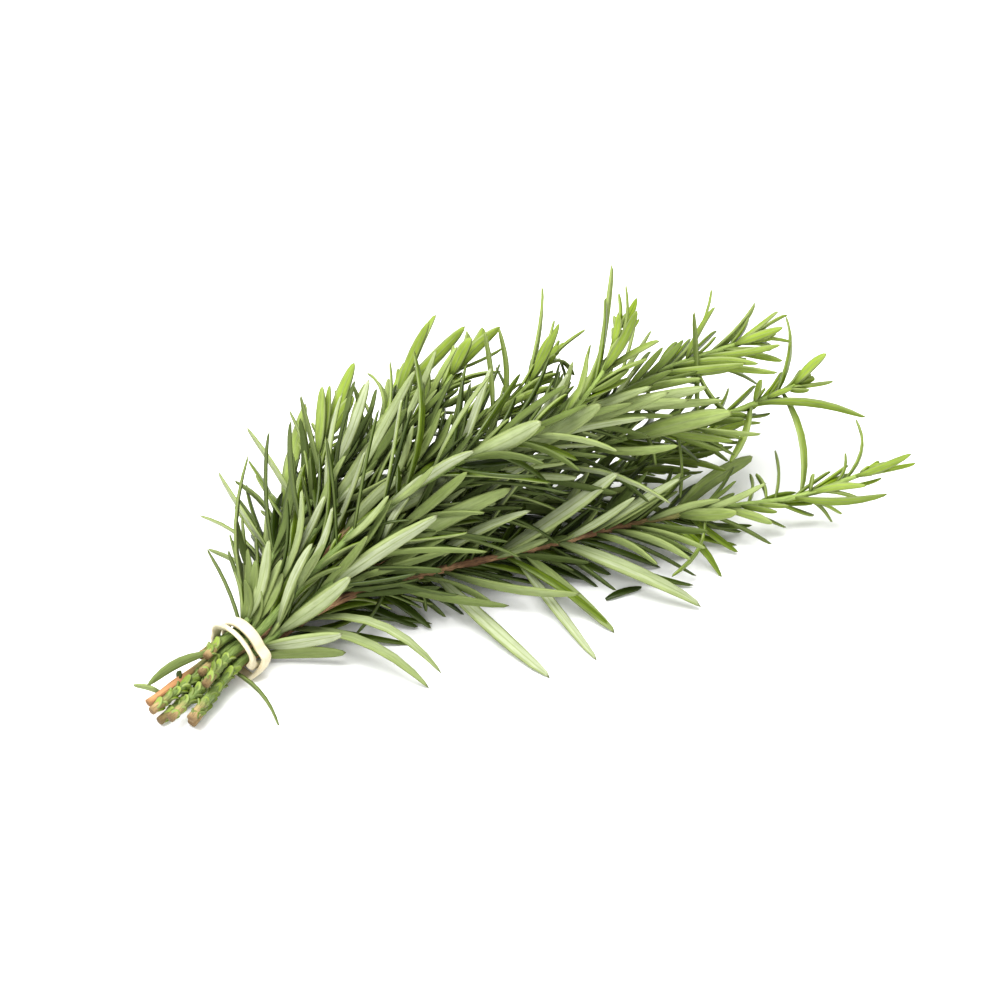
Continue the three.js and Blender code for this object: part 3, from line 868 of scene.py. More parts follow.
@dataclass
class Foliage:
    """The leaves of one sprig, by the same rule as in the part's source.

    Pairs stand up the stem, each square to the last, with a short leaf in one axil. They spread widest
    half way up, and close in, shorten and crowd towards the tip. The node holds each leaf in the first
    of its places that was free, so a leaf stands where the node has a vertex at its tip.

    Attributes:
        line: the stem's middle line.
        sprig: which sprig it is.
        tips: the node's vertices, about the tie.
        leafy_past_tie: the distance from the tie to the first pair of leaves.
        leafless_tip: the last of the stem, which takes no pair.
        pair_pitch: the distance between pairs, and pair_turn the turn from one to the next.
        lengths: of a leaf low on the stem and at its tip.
        widths: the same for its width.
        spreads: its angle to the stem just past the tie, half way up and at the tip.
        open_by: the share of the leafy part by which leaves are fully spread.
        close_from: the share from which they close, shorten and crowd.
        crowding: the pitch at the tip, as a share of the pitch below.
        bow: how far a leaf bows, as a share of its length.
        lying_tip: a leaf whose tip is lower than this lies flat.
        found_within: how near to a tip a vertex of the node is.
        slimness: the width of the rule's leaves, as a share of the solids'.
        ruled_tone: the middle of their shade, and ruled_tone_spread how far from that it may be.
        broad: the width from which a leaf placed one by one shows its felt and has broad_tone.
        stripped_tone: the shade of those below the tie.
        placed_numbers: the number of the first leaf placed one by one.
        tries: a leaf's places in turn: more turn, and shares of its spread and length.
        nudges: the places in turn of a leaf placed one by one, from where its plan has it.
    """

    line: StemLine
    sprig: int
    tips: KDTree
    leafy_past_tie: float = 3.5
    leafless_tip: float = 0.5
    pair_pitch: float = 6.8
    pair_turn: float = 90.0
    lengths: tuple[float, float] = (28.0, 11.0)
    widths: tuple[float, float] = (2.8, 2.0)
    spreads: tuple[float, float, float] = (24.0, 46.0, 20.0)
    open_by: float = 0.3
    close_from: float = 0.4
    crowding: float = 0.6
    bow: float = 0.04
    lying_tip: float = 1.2
    found_within: float = 0.05
    slimness: float = 0.76
    ruled_tone: float = 0.0
    ruled_tone_spread: float = 0.95
    broad: float = 2.4
    broad_tone: float = -0.15
    narrow_tone: float = 0.5
    stripped_tone: float = 0.6
    placed_tone_spread: float = 0.5
    placed_numbers: int = 500
    tries: tuple[tuple[float, float, float], ...] = (
        (0, 1, 1),
        (24, 0.85, 0.95),
        (-24, 0.85, 0.95),
        (45, 0.75, 0.85),
        (-45, 0.75, 0.85),
        (10, 0.55, 0.75),
        (-70, 0.9, 0.7),
    )
    nudges: tuple[Spot, ...] = (
        (0, 0, 0),
        (0, 0, 2),
        (0, 2, 0),
        (0, -2, 0),
        (0, 0, -2),
        (2, 0, 1),
        (-2, 1, 1),
        (0, 3, 3),
        (0, -3, 3),
    )

    @property
    def leafy_from(self) -> float:
        """Returns the distance of the first pair of leaves."""
        return self.line.past_tie + self.leafy_past_tie

    def share_at(self, distance: float) -> float:
        """Returns how far up the leafy part of the stem a distance is."""
        return (distance - self.leafy_from) / (self.line.length - self.leafy_from)

    def late_at(self, distance: float) -> float:
        """Returns how far the leaves have closed, shortened and crowded at a distance, from 0 to 1."""
        return float(smoothstep(self.share_at(distance), self.close_from, 1))

    def pairs(self) -> list[float]:
        """Finds where the pairs stand: steps of the pitch, less where they crowd.

        Returns:
            their distances along the stem.
        """
        found = []
        distance = self.leafy_from
        while distance < self.line.length - self.leafless_tip:
            found.append(distance)
            distance += self.pair_pitch * lerp(1, self.crowding, self.late_at(distance))
        return found

    def leaf_to(self, distance: float, tip: np.ndarray, width: float, bow: float, roll: float) -> Leaf:
        """Makes the leaf from a place on the stem to its tip.

        Its face looks the way the stem grows, or up where the tip lies on the surface, less the part of
        that along the leaf, turned by roll about the leaf.

        Args:
            distance: where it leaves the stem.
            tip: where its tip is.
            width: its full width.
            bow: how far its middle stands off the straight line.
            roll: the turn of its face, in degrees.

        Returns:
            the leaf.
        """
        root, ahead = self.line.stance_at(distance)
        heading = unit(tip - root)
        looks = UP if tip[2] < self.lying_tip else ahead
        face = spun(unit(looks - heading * np.dot(looks, heading)), heading, roll)
        return Leaf(root, tip, face, width, bow, youth=self.late_at(distance))

    def tip_at(self, distance: float, turn: float, spread: float, length: float) -> np.ndarray:
        """Finds where a leaf's tip is.

        Args:
            distance: where it leaves the stem.
            turn: its turn about the stem, in degrees.
            spread: its angle to the stem, in degrees.
            length: its length.

        Returns:
            the tip: the root plus the length times the cosine of the spread ahead and its sine outwards.
        """
        root, ahead = self.line.stance_at(distance)
        out = spun(unit(np.cross(UP, ahead)), ahead, turn)
        angle = math.radians(spread)
        tip = root + length * (ahead * math.cos(angle) + out * math.sin(angle))
        tip[2] = max(tip[2], 0)
        return tip

    def stands(self, tip: np.ndarray) -> bool:
        """Returns whether the node has a vertex at a tip."""
        return self.tips.find(tip)[2] < self.found_within

    def dressed(self, leaf: Leaf, number: int, tone: float = 0.0, spread: float = 0.7) -> Leaf:
        """Gives a leaf the sway, twist and tone of its number.

        Args:
            leaf: the leaf.
            number: its number on the sprig.
            tone: the middle of its shade.
            spread: how far from that its shade may be.

        Returns:
            the same leaf.
        """
        leaf.sway = jitter(self.sprig, number, Jitter.SWAY)
        leaf.twist = jitter(self.sprig, number, Jitter.TWIST)
        leaf.tone = tone + spread * jitter(self.sprig, number, Jitter.TONE)
        return leaf

    def turned_over(self, leaf: Leaf) -> Leaf:
        """Turns a leaf's felted lower face to the show side, and keeps its form.

        Args:
            leaf: the leaf.

        Returns:
            the same leaf.
        """
        if np.dot(leaf.face, TOWARD_VIEWER) > 0:
            leaf.face, leaf.bow = -leaf.face, -leaf.bow
        return leaf

    def placed(self) -> list[Leaf]:
        """Finds the leaves placed one by one that the node holds.

        The broad ones show their felt, and those that leave the stem before it is past the tie are dark.

        Returns:
            the leaves.
        """
        found = []
        for number, plan in enumerate(self.line.plan.placed):
            for nudge in self.nudges:
                tip = np.add(plan.tip, nudge, dtype=float)
                tip[2] = max(tip[2], 0)
                if self.stands(tip):
                    leaf = self.leaf_to(plan.distance, tip, plan.width, plan.bow, plan.roll)
                    tone = self.narrow_tone
                    if plan.distance < self.line.past_tie:
                        tone = self.stripped_tone
                    elif plan.width >= self.broad:
                        leaf, tone = self.turned_over(leaf), self.broad_tone
                    number += self.placed_numbers
                    found.append(self.dressed(leaf, number, tone, self.placed_tone_spread))
                    break
        return found

    def ruled(self) -> list[Leaf]:
        """Finds the leaves of the rule that the node holds.

        Returns:
            the leaves, each in the first of its places where the node has a tip.
        """
        found = []
        members = list(Member)
        for pair, distance in enumerate(self.pairs()):
            for index, member in enumerate(members):
                number = pair * len(members) + index
                for attempt in self.tries:
                    leaf = self.by_rule(number, pair, distance, member, attempt)
                    if self.stands(leaf.tip):
                        found.append(self.dressed(leaf, number, self.ruled_tone, self.ruled_tone_spread))
                        break
        return found

    def by_rule(
        self, number: int, pair: int, distance: float, member: Member, attempt: tuple[float, float, float]
    ) -> Leaf:
        """Makes a leaf of the rule in one of its places.

        Args:
            number: the leaf's number on the sprig.
            pair: its pair's number.
            distance: its pair's distance along the stem.
            member: which leaf of the pair it is.
            attempt: more turn, and how much of the spread and length it keeps.

        Returns:
            the leaf.
        """
        late = self.late_at(distance)
        low, mid, tip_spread = self.spreads
        opened = lerp(low, mid, float(smoothstep(self.share_at(distance), 0, self.open_by)))
        length_share, spread_share, width_share, step, own_turn = member.value
        more_turn, less_spread, less_length = attempt
        turn = pair * self.pair_turn + own_turn + jitter(self.sprig, number, Jitter.TURN) + more_turn
        spread = lerp(opened, tip_spread, late) * less_spread * spread_share
        spread += jitter(self.sprig, number, Jitter.SPREAD)
        length = lerp(*self.lengths, late) * less_length * length_share
        length *= 1 + jitter(self.sprig, number, Jitter.LENGTH)
        at = distance + step + jitter(self.sprig, number, Jitter.PLACE)
        at = min(at, self.line.length - self.leafless_tip)
        bow = length * (self.bow + jitter(self.sprig, number, Jitter.BOW))
        width = lerp(*self.widths, late) * width_share * (1 + jitter(self.sprig, number, Jitter.WIDTH))
        width *= self.slimness
        tip = self.tip_at(at, turn, spread, length)
        return self.leaf_to(at, tip, width, bow, jitter(self.sprig, number, Jitter.ROLL))


@dataclass
class Thicket:
    """All the leaves that stand, as points on their middle lines, so that more can grow between them.

    Attributes:
        samples: how many points a leaf has.
        gap: the usual gap between leaves.
        foot: how many more points by its stem aren't looked at.
        spots: the points of all the leaves.
    """

    samples: int = 9
    gap: float = 1.5
    foot: int = 2
    spots: np.ndarray = field(default_factory=lambda: np.empty((0, 3)))

    def middle(self, leaf: Leaf) -> np.ndarray:
        """Returns points on the middle of a leaf, from past its foot to its tip."""
        return centreline(leaf, np.linspace(0, 1, self.samples + self.foot)[self.foot :])

    def add(self, leaf: Leaf) -> None:
        """Counts a leaf as standing."""
        self.spots = np.concatenate([self.spots, self.middle(leaf)])

    def has_room(self, leaf: Leaf, ease: float = 1.0) -> bool:
        """Tells whether a leaf keeps its gap from all that stand.

        Args:
            leaf: where it would stand.
            ease: how much of the usual gap it keeps.

        Returns:
            whether no point on its middle is nearer than that to another.
        """
        points = self.middle(leaf)
        near = self.spots[np.abs(self.spots - points.mean(0)).max(1) < leaf.length]
        if not len(near):
            return True
        apart = np.linalg.norm(points[:, None] - near[None], axis=2)
        return float(apart.min()) > self.gap * ease


@dataclass
class ShowSide:
    """What is to be seen from the show side: the leaves placed one by one and bare stretches of a stem.

    Attributes:
        spots: points on their middles.
        within: a point hides what is this near to its line of sight.
        shares: the points of a leaf that are looked at.
        most: how many of them may hide something.
    """

    spots: np.ndarray = field(default_factory=lambda: np.empty((0, 3)))
    within: float = 1.9
    shares: tuple[float, ...] = (0.1, 0.26, 0.42, 0.58, 0.74, 0.9)
    most: int = 1

    def add_leaf(self, leaf: Leaf) -> None:
        """Counts a leaf among what is to be seen."""
        self.spots = np.concatenate([self.spots, centreline(leaf, np.array(self.shares))])

    def add_stem(self, line: StemLine, stretches: tuple[tuple[float, float], ...], step: float = 2.0) -> None:
        """Counts stretches of a stem, between distances along it, among what is to be seen."""
        for start, end in stretches:
            self.spots = np.concatenate([self.spots, line.at(np.arange(start, end, step))])

    def hidden_by(self, leaf: Leaf) -> bool:
        """Tells whether a leaf would stand before what is to be seen.

        A point of the leaf hides a spot that is behind it and near to its line of sight.

        Args:
            leaf: where it would stand.

        Returns:
            whether more of its points do so than may.
        """
        toward = unit(TOWARD_VIEWER)
        apart = centreline(leaf, np.array(self.shares))[:, None] - self.spots[None]
        nearer = apart @ toward
        aside = np.linalg.norm(apart - nearer[..., None] * toward, axis=-1)
        return int(((nearer > 0) & (aside < self.within)).any(1).sum()) > self.most

    def leans_out(self, leaf: Leaf) -> float:
        """Returns the share of a leaf's length by which its tip is nearer to the viewer than its root."""
        return float(unit(leaf.tip - leaf.root) @ unit(TOWARD_VIEWER))


def fallen_leaf() -> Leaf:
    """Returns the dark leaf that lies on the surface."""
    root, tip, width = FALLEN_LEAF
    return Leaf(np.array(root), np.array(tip), UP, width, bow=0.3, sway=0.04, tone=1.1)


def centreline(leaf: Leaf, shares: np.ndarray) -> np.ndarray:
    """Finds points along a leaf: the straight line, with a parabola for its bow and a sine for its sway.

    Args:
        leaf: the leaf.
        shares: how far along it they are, from 0 to 1.

    Returns:
        (points, 3).
    """
    heading = unit(leaf.tip - leaf.root)
    side = np.cross(leaf.face, heading)
    share = shares[:, None]
    line = leaf.root + (leaf.tip - leaf.root) * share + leaf.face * leaf.bow * 4 * share * (1 - share)
    return line + side * leaf.sway * leaf.length * np.sin(share * np.pi)


@dataclass(frozen=True)
class Blade:
    """The form of a leaf blade: parallel sides, a narrow foot, a blunt tip and edges rolled under.

    Attributes:
        shares: where along the leaf its rings are.
        widths: how wide it is there, as a share of its full width.
        depths: how deep it is there, as a share of its full depth.
        section: a ring's corners, as shares of half its width and of its depth.
        sides: whether a corner is on the upper face, 1, on an edge, 0, or on the lower face, -1.
        depth: the full depth of a leaf of full width.
        full_width: that width.
        depth_range: the least and the most share of that depth that another width gives.
        grain_across: how fast the pattern runs across the leaf.
        grain_pace: how fast it runs along the leaf.
        grain_step: how far one leaf's pattern is from the next one's.
    """

    shares: tuple[float, ...] = (0.03, 0.14, 0.28, 0.43, 0.58, 0.73, 0.87, 0.96)
    widths: tuple[float, ...] = (0.34, 0.66, 0.9, 1.0, 1.0, 0.9, 0.68, 0.38)
    depths: tuple[float, ...] = (0.8, 0.93, 1.0, 1.0, 1.0, 0.97, 0.87, 0.62)
    section: tuple[tuple[float, float], ...] = (
        (1.0, -0.42),
        (0.62, 0.0),
        (0.0, -0.2),
        (-0.62, 0.0),
        (-1.0, -0.42),
        (-0.74, -0.95),
        (0.0, -0.66),
        (0.74, -0.95),
    )
    sides: tuple[int, ...] = (0, 1, 1, 1, 0, -1, -1, -1)
    depth: float = 1.0
    full_width: float = 3.5
    depth_range: tuple[float, float] = (0.72, 1.1)
    grain_across: float = 0.9
    grain_pace: float = 0.12
    grain_step: float = 3.7

    def piece(self, name: str, leaves: list[Leaf]) -> Piece:
        """Makes all the leaves of a sprig as one piece.

        Each ring is the section, scaled by the width and depth there, set across the leaf's middle line
        and turned by the twist's share there. What would go under the surface lies on it.

        Args:
            name: the piece's name.
            leaves: the leaves.

        Returns:
            closed tubes of such rings, with what the leaf finish reads.
        """
        root, tip, face = (
            np.array([getattr(leaf, key) for leaf in leaves]) for key in ("root", "tip", "face")
        )
        width, bow, sway, twist, youth, tone = (
            np.array([getattr(leaf, key) for leaf in leaves])
            for key in ("width", "bow", "sway", "twist", "youth", "tone")
        )
        length = np.linalg.norm(tip - root, axis=1)
        heading = unit(tip - root)
        side = np.cross(face, heading)
        share = np.array(self.shares)[None, :, None]
        depth = self.depth * np.clip(width / self.full_width, *self.depth_range)[:, None]
        depth = depth * np.array(self.depths)
        middle = root[:, None] + (tip - root)[:, None] * share
        middle = middle + face[:, None] * bow[:, None, None] * 4 * share * (1 - share)
        middle = middle + side[:, None] * (sway * length)[:, None, None] * np.sin(share * np.pi)
        middle[..., 2] = np.maximum(middle[..., 2], depth)
        turned = np.radians(twist)[:, None, None] * (share - 0.5)
        across = side[:, None] * np.cos(turned) - face[:, None] * np.sin(turned)
        upward = face[:, None] * np.cos(turned) + side[:, None] * np.sin(turned)
        corners = np.array(self.section)
        half = width[:, None] / 2 * np.array(self.widths)
        rings = (
            middle[:, :, None]
            + across[:, :, None] * (half[..., None] * corners[:, 0])[..., None]
            + upward[:, :, None] * (depth[..., None] * corners[:, 1])[..., None]
        )
        rings[..., 2] = np.maximum(rings[..., 2], 0)
        tubes = Tubes(rings, np.stack([root, tip], 1))
        upper = np.array(self.sides)[None, None]
        own = (np.arange(len(leaves)) * self.grain_step)[:, None, None]
        grain_across = corners[:, 0] * half[..., None] * self.grain_across + own
        grain_along = share * length[:, None, None] * self.grain_pace
        grain = np.stack(np.broadcast_arrays(grain_across, upper, grain_along), -1)
        end_grain = np.stack([grain[:, 0].mean(1), grain[:, -1].mean(1)], 1)
        return Piece(
            name,
            tubes.spots(),
            tubes.faces(),
            {
                "across": tubes.spread(corners[None, None, :, 0], np.zeros((1, 2))),
                "upper": tubes.spread(upper, np.zeros((1, 2))),
                "along": tubes.spread(share, np.array([[0, 1]])),
                "youth": tubes.spread(youth[:, None, None], youth[:, None]),
                "tone": tubes.spread(tone[:, None, None], tone[:, None]),
                "grain": tubes.spread(grain, end_grain),
            },
        )


@dataclass(frozen=True)
class FillRound:
    """How the leaves of one round of filling stand, beside those of the rule.

    Attributes:
        up: how far up they stand from one pair to the next.
        turn: their further turn about the stem.
        spread: how much of the usual angle to the stem they keep.
        length: how much of the usual length.
        lean: the most that they lean out to the show side.
        ease: how much of the usual gap they keep from others.
        tone: the middle of their shade; a high one is painted shade deep in the bunch.
    """

    up: float
    turn: float
    spread: float
    length: float
    lean: float
    ease: float
    tone: float


@dataclass(frozen=True)
class Whorls:
    """How small leaves stand in rings round a stem. A play is how much of the usual random part they have.

    Attributes:
        numbers: the number on the sprig of the first of them.
        around: how many stand in a ring.
        turn: the turn of each ring beyond the one before, with its play.
        spread: the angle to the stem in the first ring, what each ring adds to it, and its play.
        length: the length in the first ring, what share of it each ring adds, and its play.
        width: the full width.
        bow: how far the middle stands off the straight line, as a share of the length.
        tone: the middle of the shade, and how far from that it may be.
        youth: how young they look, if not by their place.
        ease: how much of the usual gap they keep, if any.
    """

    numbers: int
    around: int
    turn: float
    spread: float
    length: float
    width: float
    bow: float
    turn_play: float = 1.0
    wider: float = 0.0
    spread_play: float = 1.0
    longer: float = 0.0
    length_play: float = 1.0
    tone: float = 0.0
    tone_play: float = 0.0
    youth: float | None = None
    ease: float | None = None


@dataclass
class MoreLeaves:
    """Leaves that no node holds, grown where there is room between those of the nodes.

    Attributes:
        foliage: the sprig that they grow on.
        thicket: what stands already.
        show: what they must not hide.
        low: the leaves just past the band, and low_steps where they stand.
        tuft: the young leaves near the tip, and tuft_steps how far from it they stand.
        stubs: the stubs of stripped leaves, from stub_from by steps of stub_pitch.
        buds: the closed leaves round the tip, and bud_steps how far from it they stand.
        fill_rounds: the rounds of filling, whose leaves have fill_width of the usual width.
        fill_numbers: the number of the first leaf of filling, and fill_numbers_step from round to round.
        hand_numbers: the number of the first leaf placed one by one, and hand_bow the bow of all of them.
        tone_play: how far from the middle of its shade a leaf may be.
    """

    foliage: Foliage
    thicket: Thicket
    show: ShowSide
    low: Whorls = Whorls(
        numbers=700, around=4, turn=45, turn_play=2, spread=16, length=19, width=2.2, bow=0.05, ease=0.8
    )
    tuft: Whorls = Whorls(
        numbers=1500, around=3, turn=65, spread=24, length=5, longer=0.3, length_play=0, width=1.8,
        bow=0.08, ease=0.25, tone=0.1,
    )
    stubs: Whorls = Whorls(
        numbers=1600, around=3, turn=50, turn_play=2, spread=24, spread_play=0, length=2.9, length_play=3,
        width=1.9, bow=0.15, youth=0.8, tone=0.7, tone_play=0.9,
    )
    buds: Whorls = Whorls(
        numbers=600, around=2, turn=90, spread=8, wider=5, spread_play=0, length=4, longer=-0.15,
        length_play=0, width=1.5, bow=0.06, youth=1.0, tone_play=0.7,
    )
    low_steps: tuple[float, ...] = (0.8, 4.0, 8.0)
    tuft_steps: tuple[float, ...] = (2.5, 5.5, 9.0, 13.0, 17.5)
    bud_steps: tuple[float, ...] = (0.6, 1.6, 3.0)
    stub_from: float = 0.3
    stub_pitch: float = 1.9
    # Most rounds are dark: their tone is painted shade between the leaves deep in the bunch.
    fill_rounds: tuple[FillRound, ...] = (
        FillRound(up=0.5, turn=45, spread=0.8, length=0.72, lean=0.3, ease=1.0, tone=1.1),
        FillRound(up=0.2, turn=110, spread=1.0, length=0.85, lean=0.25, ease=0.8, tone=1.1),
        FillRound(up=0.75, turn=-20, spread=0.6, length=0.8, lean=0.2, ease=0.7, tone=1.0),
        FillRound(up=0.4, turn=200, spread=0.55, length=0.6, lean=0.7, ease=0.6, tone=0.2),
        FillRound(up=0.6, turn=80, spread=1.2, length=0.75, lean=0.4, ease=0.55, tone=0.9),
    )
    fill_width: float = 0.85
    fill_numbers: int = 800
    fill_numbers_step: int = 200
    hand_numbers: int = 1700
    hand_bow: float = 1.0
    tone_play: float = 0.2

    def grow(self, number: int, leaf: Leaf, ease: float, tone: float) -> list[Leaf]:
        """Grows a leaf if it has room and hides nothing.

        Args:
            number: its number on the sprig.
            leaf: where it would stand.
            ease: how much of the usual gap it keeps.
            tone: the middle of its shade.

        Returns:
            the leaf in a list, or an empty list.
        """
        if self.show.hidden_by(leaf) or not self.thicket.has_room(leaf, ease):
            return []
        self.thicket.add(leaf)
        return [self.foliage.dressed(leaf, number, tone, self.tone_play)]

    def by_hand(self) -> list[Leaf]:
        """Grows the leaves placed one by one that no node holds: the pale ones show their felt.

        Returns:
            the leaves.
        """
        foliage, found = self.foliage, []
        for number, extra in enumerate(foliage.line.plan.extra, self.hand_numbers):
            tip = np.array(extra.tip, float)
            leaf = foliage.leaf_to(extra.distance, tip, extra.width, self.hand_bow, 0)
            if extra.tone < 0:
                leaf = foliage.turned_over(leaf)
            self.thicket.add(leaf)
            found.append(foliage.dressed(leaf, number, extra.tone, self.tone_play))
        return found

    def whorls(self, plan: Whorls, distances: Iterable[float]) -> list[Leaf]:
        """Grows leaves in rings round the stem.

        Those of a plan with an ease stand where they have room and hide nothing. The others stand
        whatever is near.

        Args:
            plan: how they stand.
            distances: where along the stem each ring is.

        Returns:
            the leaves.
        """
        foliage, sprig, found = self.foliage, self.foliage.sprig, []
        for ring, distance in enumerate(distances):
            for member in range(plan.around):
                number = plan.numbers + ring * plan.around + member
                turn = member * FULL_TURN / plan.around + ring * plan.turn
                turn += plan.turn_play * jitter(sprig, number, Jitter.TURN)
                spread = plan.spread + ring * plan.wider
                spread += plan.spread_play * jitter(sprig, number, Jitter.SPREAD)
                length = plan.length * (1 + ring * plan.longer)
                length *= 1 + plan.length_play * jitter(sprig, number, Jitter.LENGTH)
                tip = foliage.tip_at(distance, turn, spread, length)
                leaf = foliage.leaf_to(distance, tip, plan.width, length * plan.bow, 0)
                if plan.youth is not None:
                    leaf.youth = plan.youth
                if plan.ease is None:
                    found.append(foliage.dressed(leaf, number, plan.tone, plan.tone_play))
                else:
                    found += self.grow(number, leaf, plan.ease, plan.tone)
        return found

    def past_tie(self) -> list[Leaf]:
        """Returns the leaves that lie along the stem just past the band, fanned about it."""
        return self.whorls(self.low, [self.foliage.line.past_tie + step for step in self.low_steps])

    def near_tip(self) -> list[Leaf]:
        """Returns more of the young leaves that crowd near the tip of the stem, shorter the nearer to it."""
        return self.whorls(self.tuft, [self.foliage.line.length - step for step in self.tuft_steps])

    def round_tip(self) -> list[Leaf]:
        """Returns the small closed leaves round the tip of the stem."""
        return self.whorls(self.buds, [self.foliage.line.length - step for step in self.bud_steps])

    def stripped(self) -> list[Leaf]:
        """Returns the stubs of leaves stripped from the stem between its cut end and the band."""
        end = self.foliage.line.past_tie - 2 * SEAT_RUN - self.stubs.length
        return self.whorls(self.stubs, np.arange(self.stub_from, end, self.stub_pitch))

    def fill(self) -> list[Leaf]:
        """Grows narrow leaves between the pairs, that lean in or away, most of them dark with painted shade.

        Returns:
            the leaves.
        """
        foliage, found = self.foliage, []
        pairs = foliage.pairs()
        for round_number, turn_of_fill in enumerate(self.fill_rounds):
            for pair, (distance, after) in enumerate(zip(pairs, pairs[1:])):
                for index, member in enumerate(Member):
                    number = self.fill_numbers + self.fill_numbers_step * round_number
                    number += pair * len(Member) + index
                    at = lerp(distance, after, turn_of_fill.up)
                    found += self.first_free(number, pair, at, member, turn_of_fill)
        return found

    def first_free(self, number: int, pair: int, at: float, member: Member, fill: FillRound) -> list[Leaf]:
        """Grows a leaf of a round of filling in the first of its places that is free.

        Args:
            number: its number on the sprig.
            pair: the number of the pair before it.
            at: its distance along the stem.
            member: which leaf of a pair it is like.
            fill: how the leaves of the round stand.

        Returns:
            the leaf in a list, or an empty list if none is free.
        """
        foliage = self.foliage
        for turn, spread, length in foliage.tries:
            eased = (turn + fill.turn, spread * fill.spread, length * fill.length)
            leaf = foliage.by_rule(number, pair, at, member, eased)
            leaf.width *= self.fill_width
            if self.show.leans_out(leaf) > fill.lean:
                continue
            grown = self.grow(number, leaf, fill.ease, fill.tone)
            if grown:
                return grown
        return []

    def bud_left(self) -> list[Leaf]:
        """Makes the dark bud on the peeled stem.

        Returns:
            the bud, as one short leaf.
        """
        tip = self.foliage.tip_at(PEELED_BUD_AT, turn=60, spread=60, length=2)
        leaf = self.foliage.leaf_to(PEELED_BUD_AT, tip, self.stubs.width, bow=0, roll=0)
        return [self.foliage.dressed(leaf, self.stubs.numbers, tone=1.2, spread=0)]


# ---- band


@dataclass(frozen=True)
class RubberBand:
    """A flat strand wound twice round the tie, as in the part's source, with rounded edges.

    Attributes:
        bore: the radius inside it.
        width: the strand's, and its thickness.
        offset: each turn's middle from the middle of the tie, along the tie's axis.
        crossing: where the turns change places, from the far side over the top, in degrees.
        crossing_span: half the angle over which they do.
        lift: the outer strand's rise there, and lift_span half the angle over which it rises.
        roll: how far the second turn stands up on its edge, between the angles of roll_window.
        floor: the thickness left where it is pressed on the surface.
        source_steps: the stations that the part's source has along both turns, and steps those here.
        corners: how many a ring has.
        squareness: the power of the superellipse.
    """

    bore: float = 4.85
    width: float = 2.5
    thickness: float = 1.05
    offset: float = 1.55
    crossing: float = 205.0
    crossing_span: float = 30.0
    lift: float = 1.4
    lift_span: float = 52.0
    roll: float = 60.0
    roll_window: tuple[float, float, float, float] = (20.0, 60.0, 150.0, 183.0)
    floor: float = 0.75
    source_steps: int = 60
    steps: int = 300
    corners: int = 20
    squareness: float = 4.0

    def strand(self, turned: np.ndarray, wide: np.ndarray, thick: np.ndarray) -> np.ndarray:
        """Finds points of the strand.

        The two turns lie side by side and change places at the crossing, by smooth steps of the angle.
        One is lifted over the other there. The second rolls onto its edge over the top.

        Args:
            turned: the angle along both turns, from 0 to 720 degrees.
            wide: the place across the strand, from -1 to 1.
            thick: the place through it, from -1 inside to 1 outside.

        Returns:
            the points, about the tie, none of them under the surface.
        """
        span = self.crossing_span
        place = (
            smoothstep(turned, -span, span)
            - smoothstep(turned, FULL_TURN - span, FULL_TURN + span)
            + smoothstep(turned, BOTH_TURNS - span, BOTH_TURNS + span)
        )
        lifted = 1 - smoothstep(np.abs(turned - FULL_TURN), span, self.lift_span)
        over = turned + self.crossing - BOTH_TURNS
        start, full, held, end = self.roll_window
        roll = np.radians(self.roll * (smoothstep(over, start, full) - smoothstep(over, held, end)))
        angle = np.radians(turned + self.crossing)
        half = self.width / 2 * np.sin(roll) + self.thickness / 2 * np.cos(roll)
        radius = self.bore + half + self.lift * lifted
        across, through = wide * self.width / 2, thick * self.thickness / 2
        along = -across * np.cos(roll) + through * np.sin(roll) + self.offset * (2 * place - 1)
        out = radius + across * np.sin(roll) + through * np.cos(roll)
        spots = in_tie(along, out * np.cos(angle), out * np.sin(angle))
        lowest = self.floor * (1 - thick) / 2 + 0 * spots[..., 2]
        spots[..., 2] = np.maximum(spots[..., 2], lowest)
        return spots

    def source_box(self) -> tuple[np.ndarray, np.ndarray]:
        """Measures the strand as the part's source has it.

        Returns:
            its lowest and its highest corner.
        """
        turned = np.linspace(0, BOTH_TURNS, self.source_steps + 1)[:, None]
        corners = np.array([(-1, -1), (-1, 1), (1, -1), (1, 1)])
        spots = self.strand(turned, corners[:, 0], corners[:, 1]).reshape(-1, 3)
        return spots.min(0), spots.max(0)

    def piece(self) -> Piece:
        """Makes the band as a closed loop of rings, each a rectangle with rounded corners.

        The ring is a superellipse: the signed powers of a cosine and a sine.

        Returns:
            the piece.
        """
        turned = np.linspace(0, BOTH_TURNS, self.steps, endpoint=False)[:, None]
        angle = np.arange(self.corners) / self.corners * 2 * np.pi
        power = 2 / self.squareness
        wide = np.sign(np.cos(angle)) * np.abs(np.cos(angle)) ** power
        thick = np.sign(np.sin(angle)) * np.abs(np.sin(angle)) ** power
        spots = self.strand(turned, wide, thick)
        row = np.arange(self.steps)[:, None]
        corner = np.arange(self.corners)
        after, above = (corner + 1) % self.corners, (row + 1) % self.steps
        here, there = row * self.corners, above * self.corners
        faces = np.stack([here + corner, there + corner, there + after, here + after], -1).reshape(-1, 4)
        return Piece("rubber_band_strand", spots.reshape(-1, 3), faces.tolist())


# ---- finishes


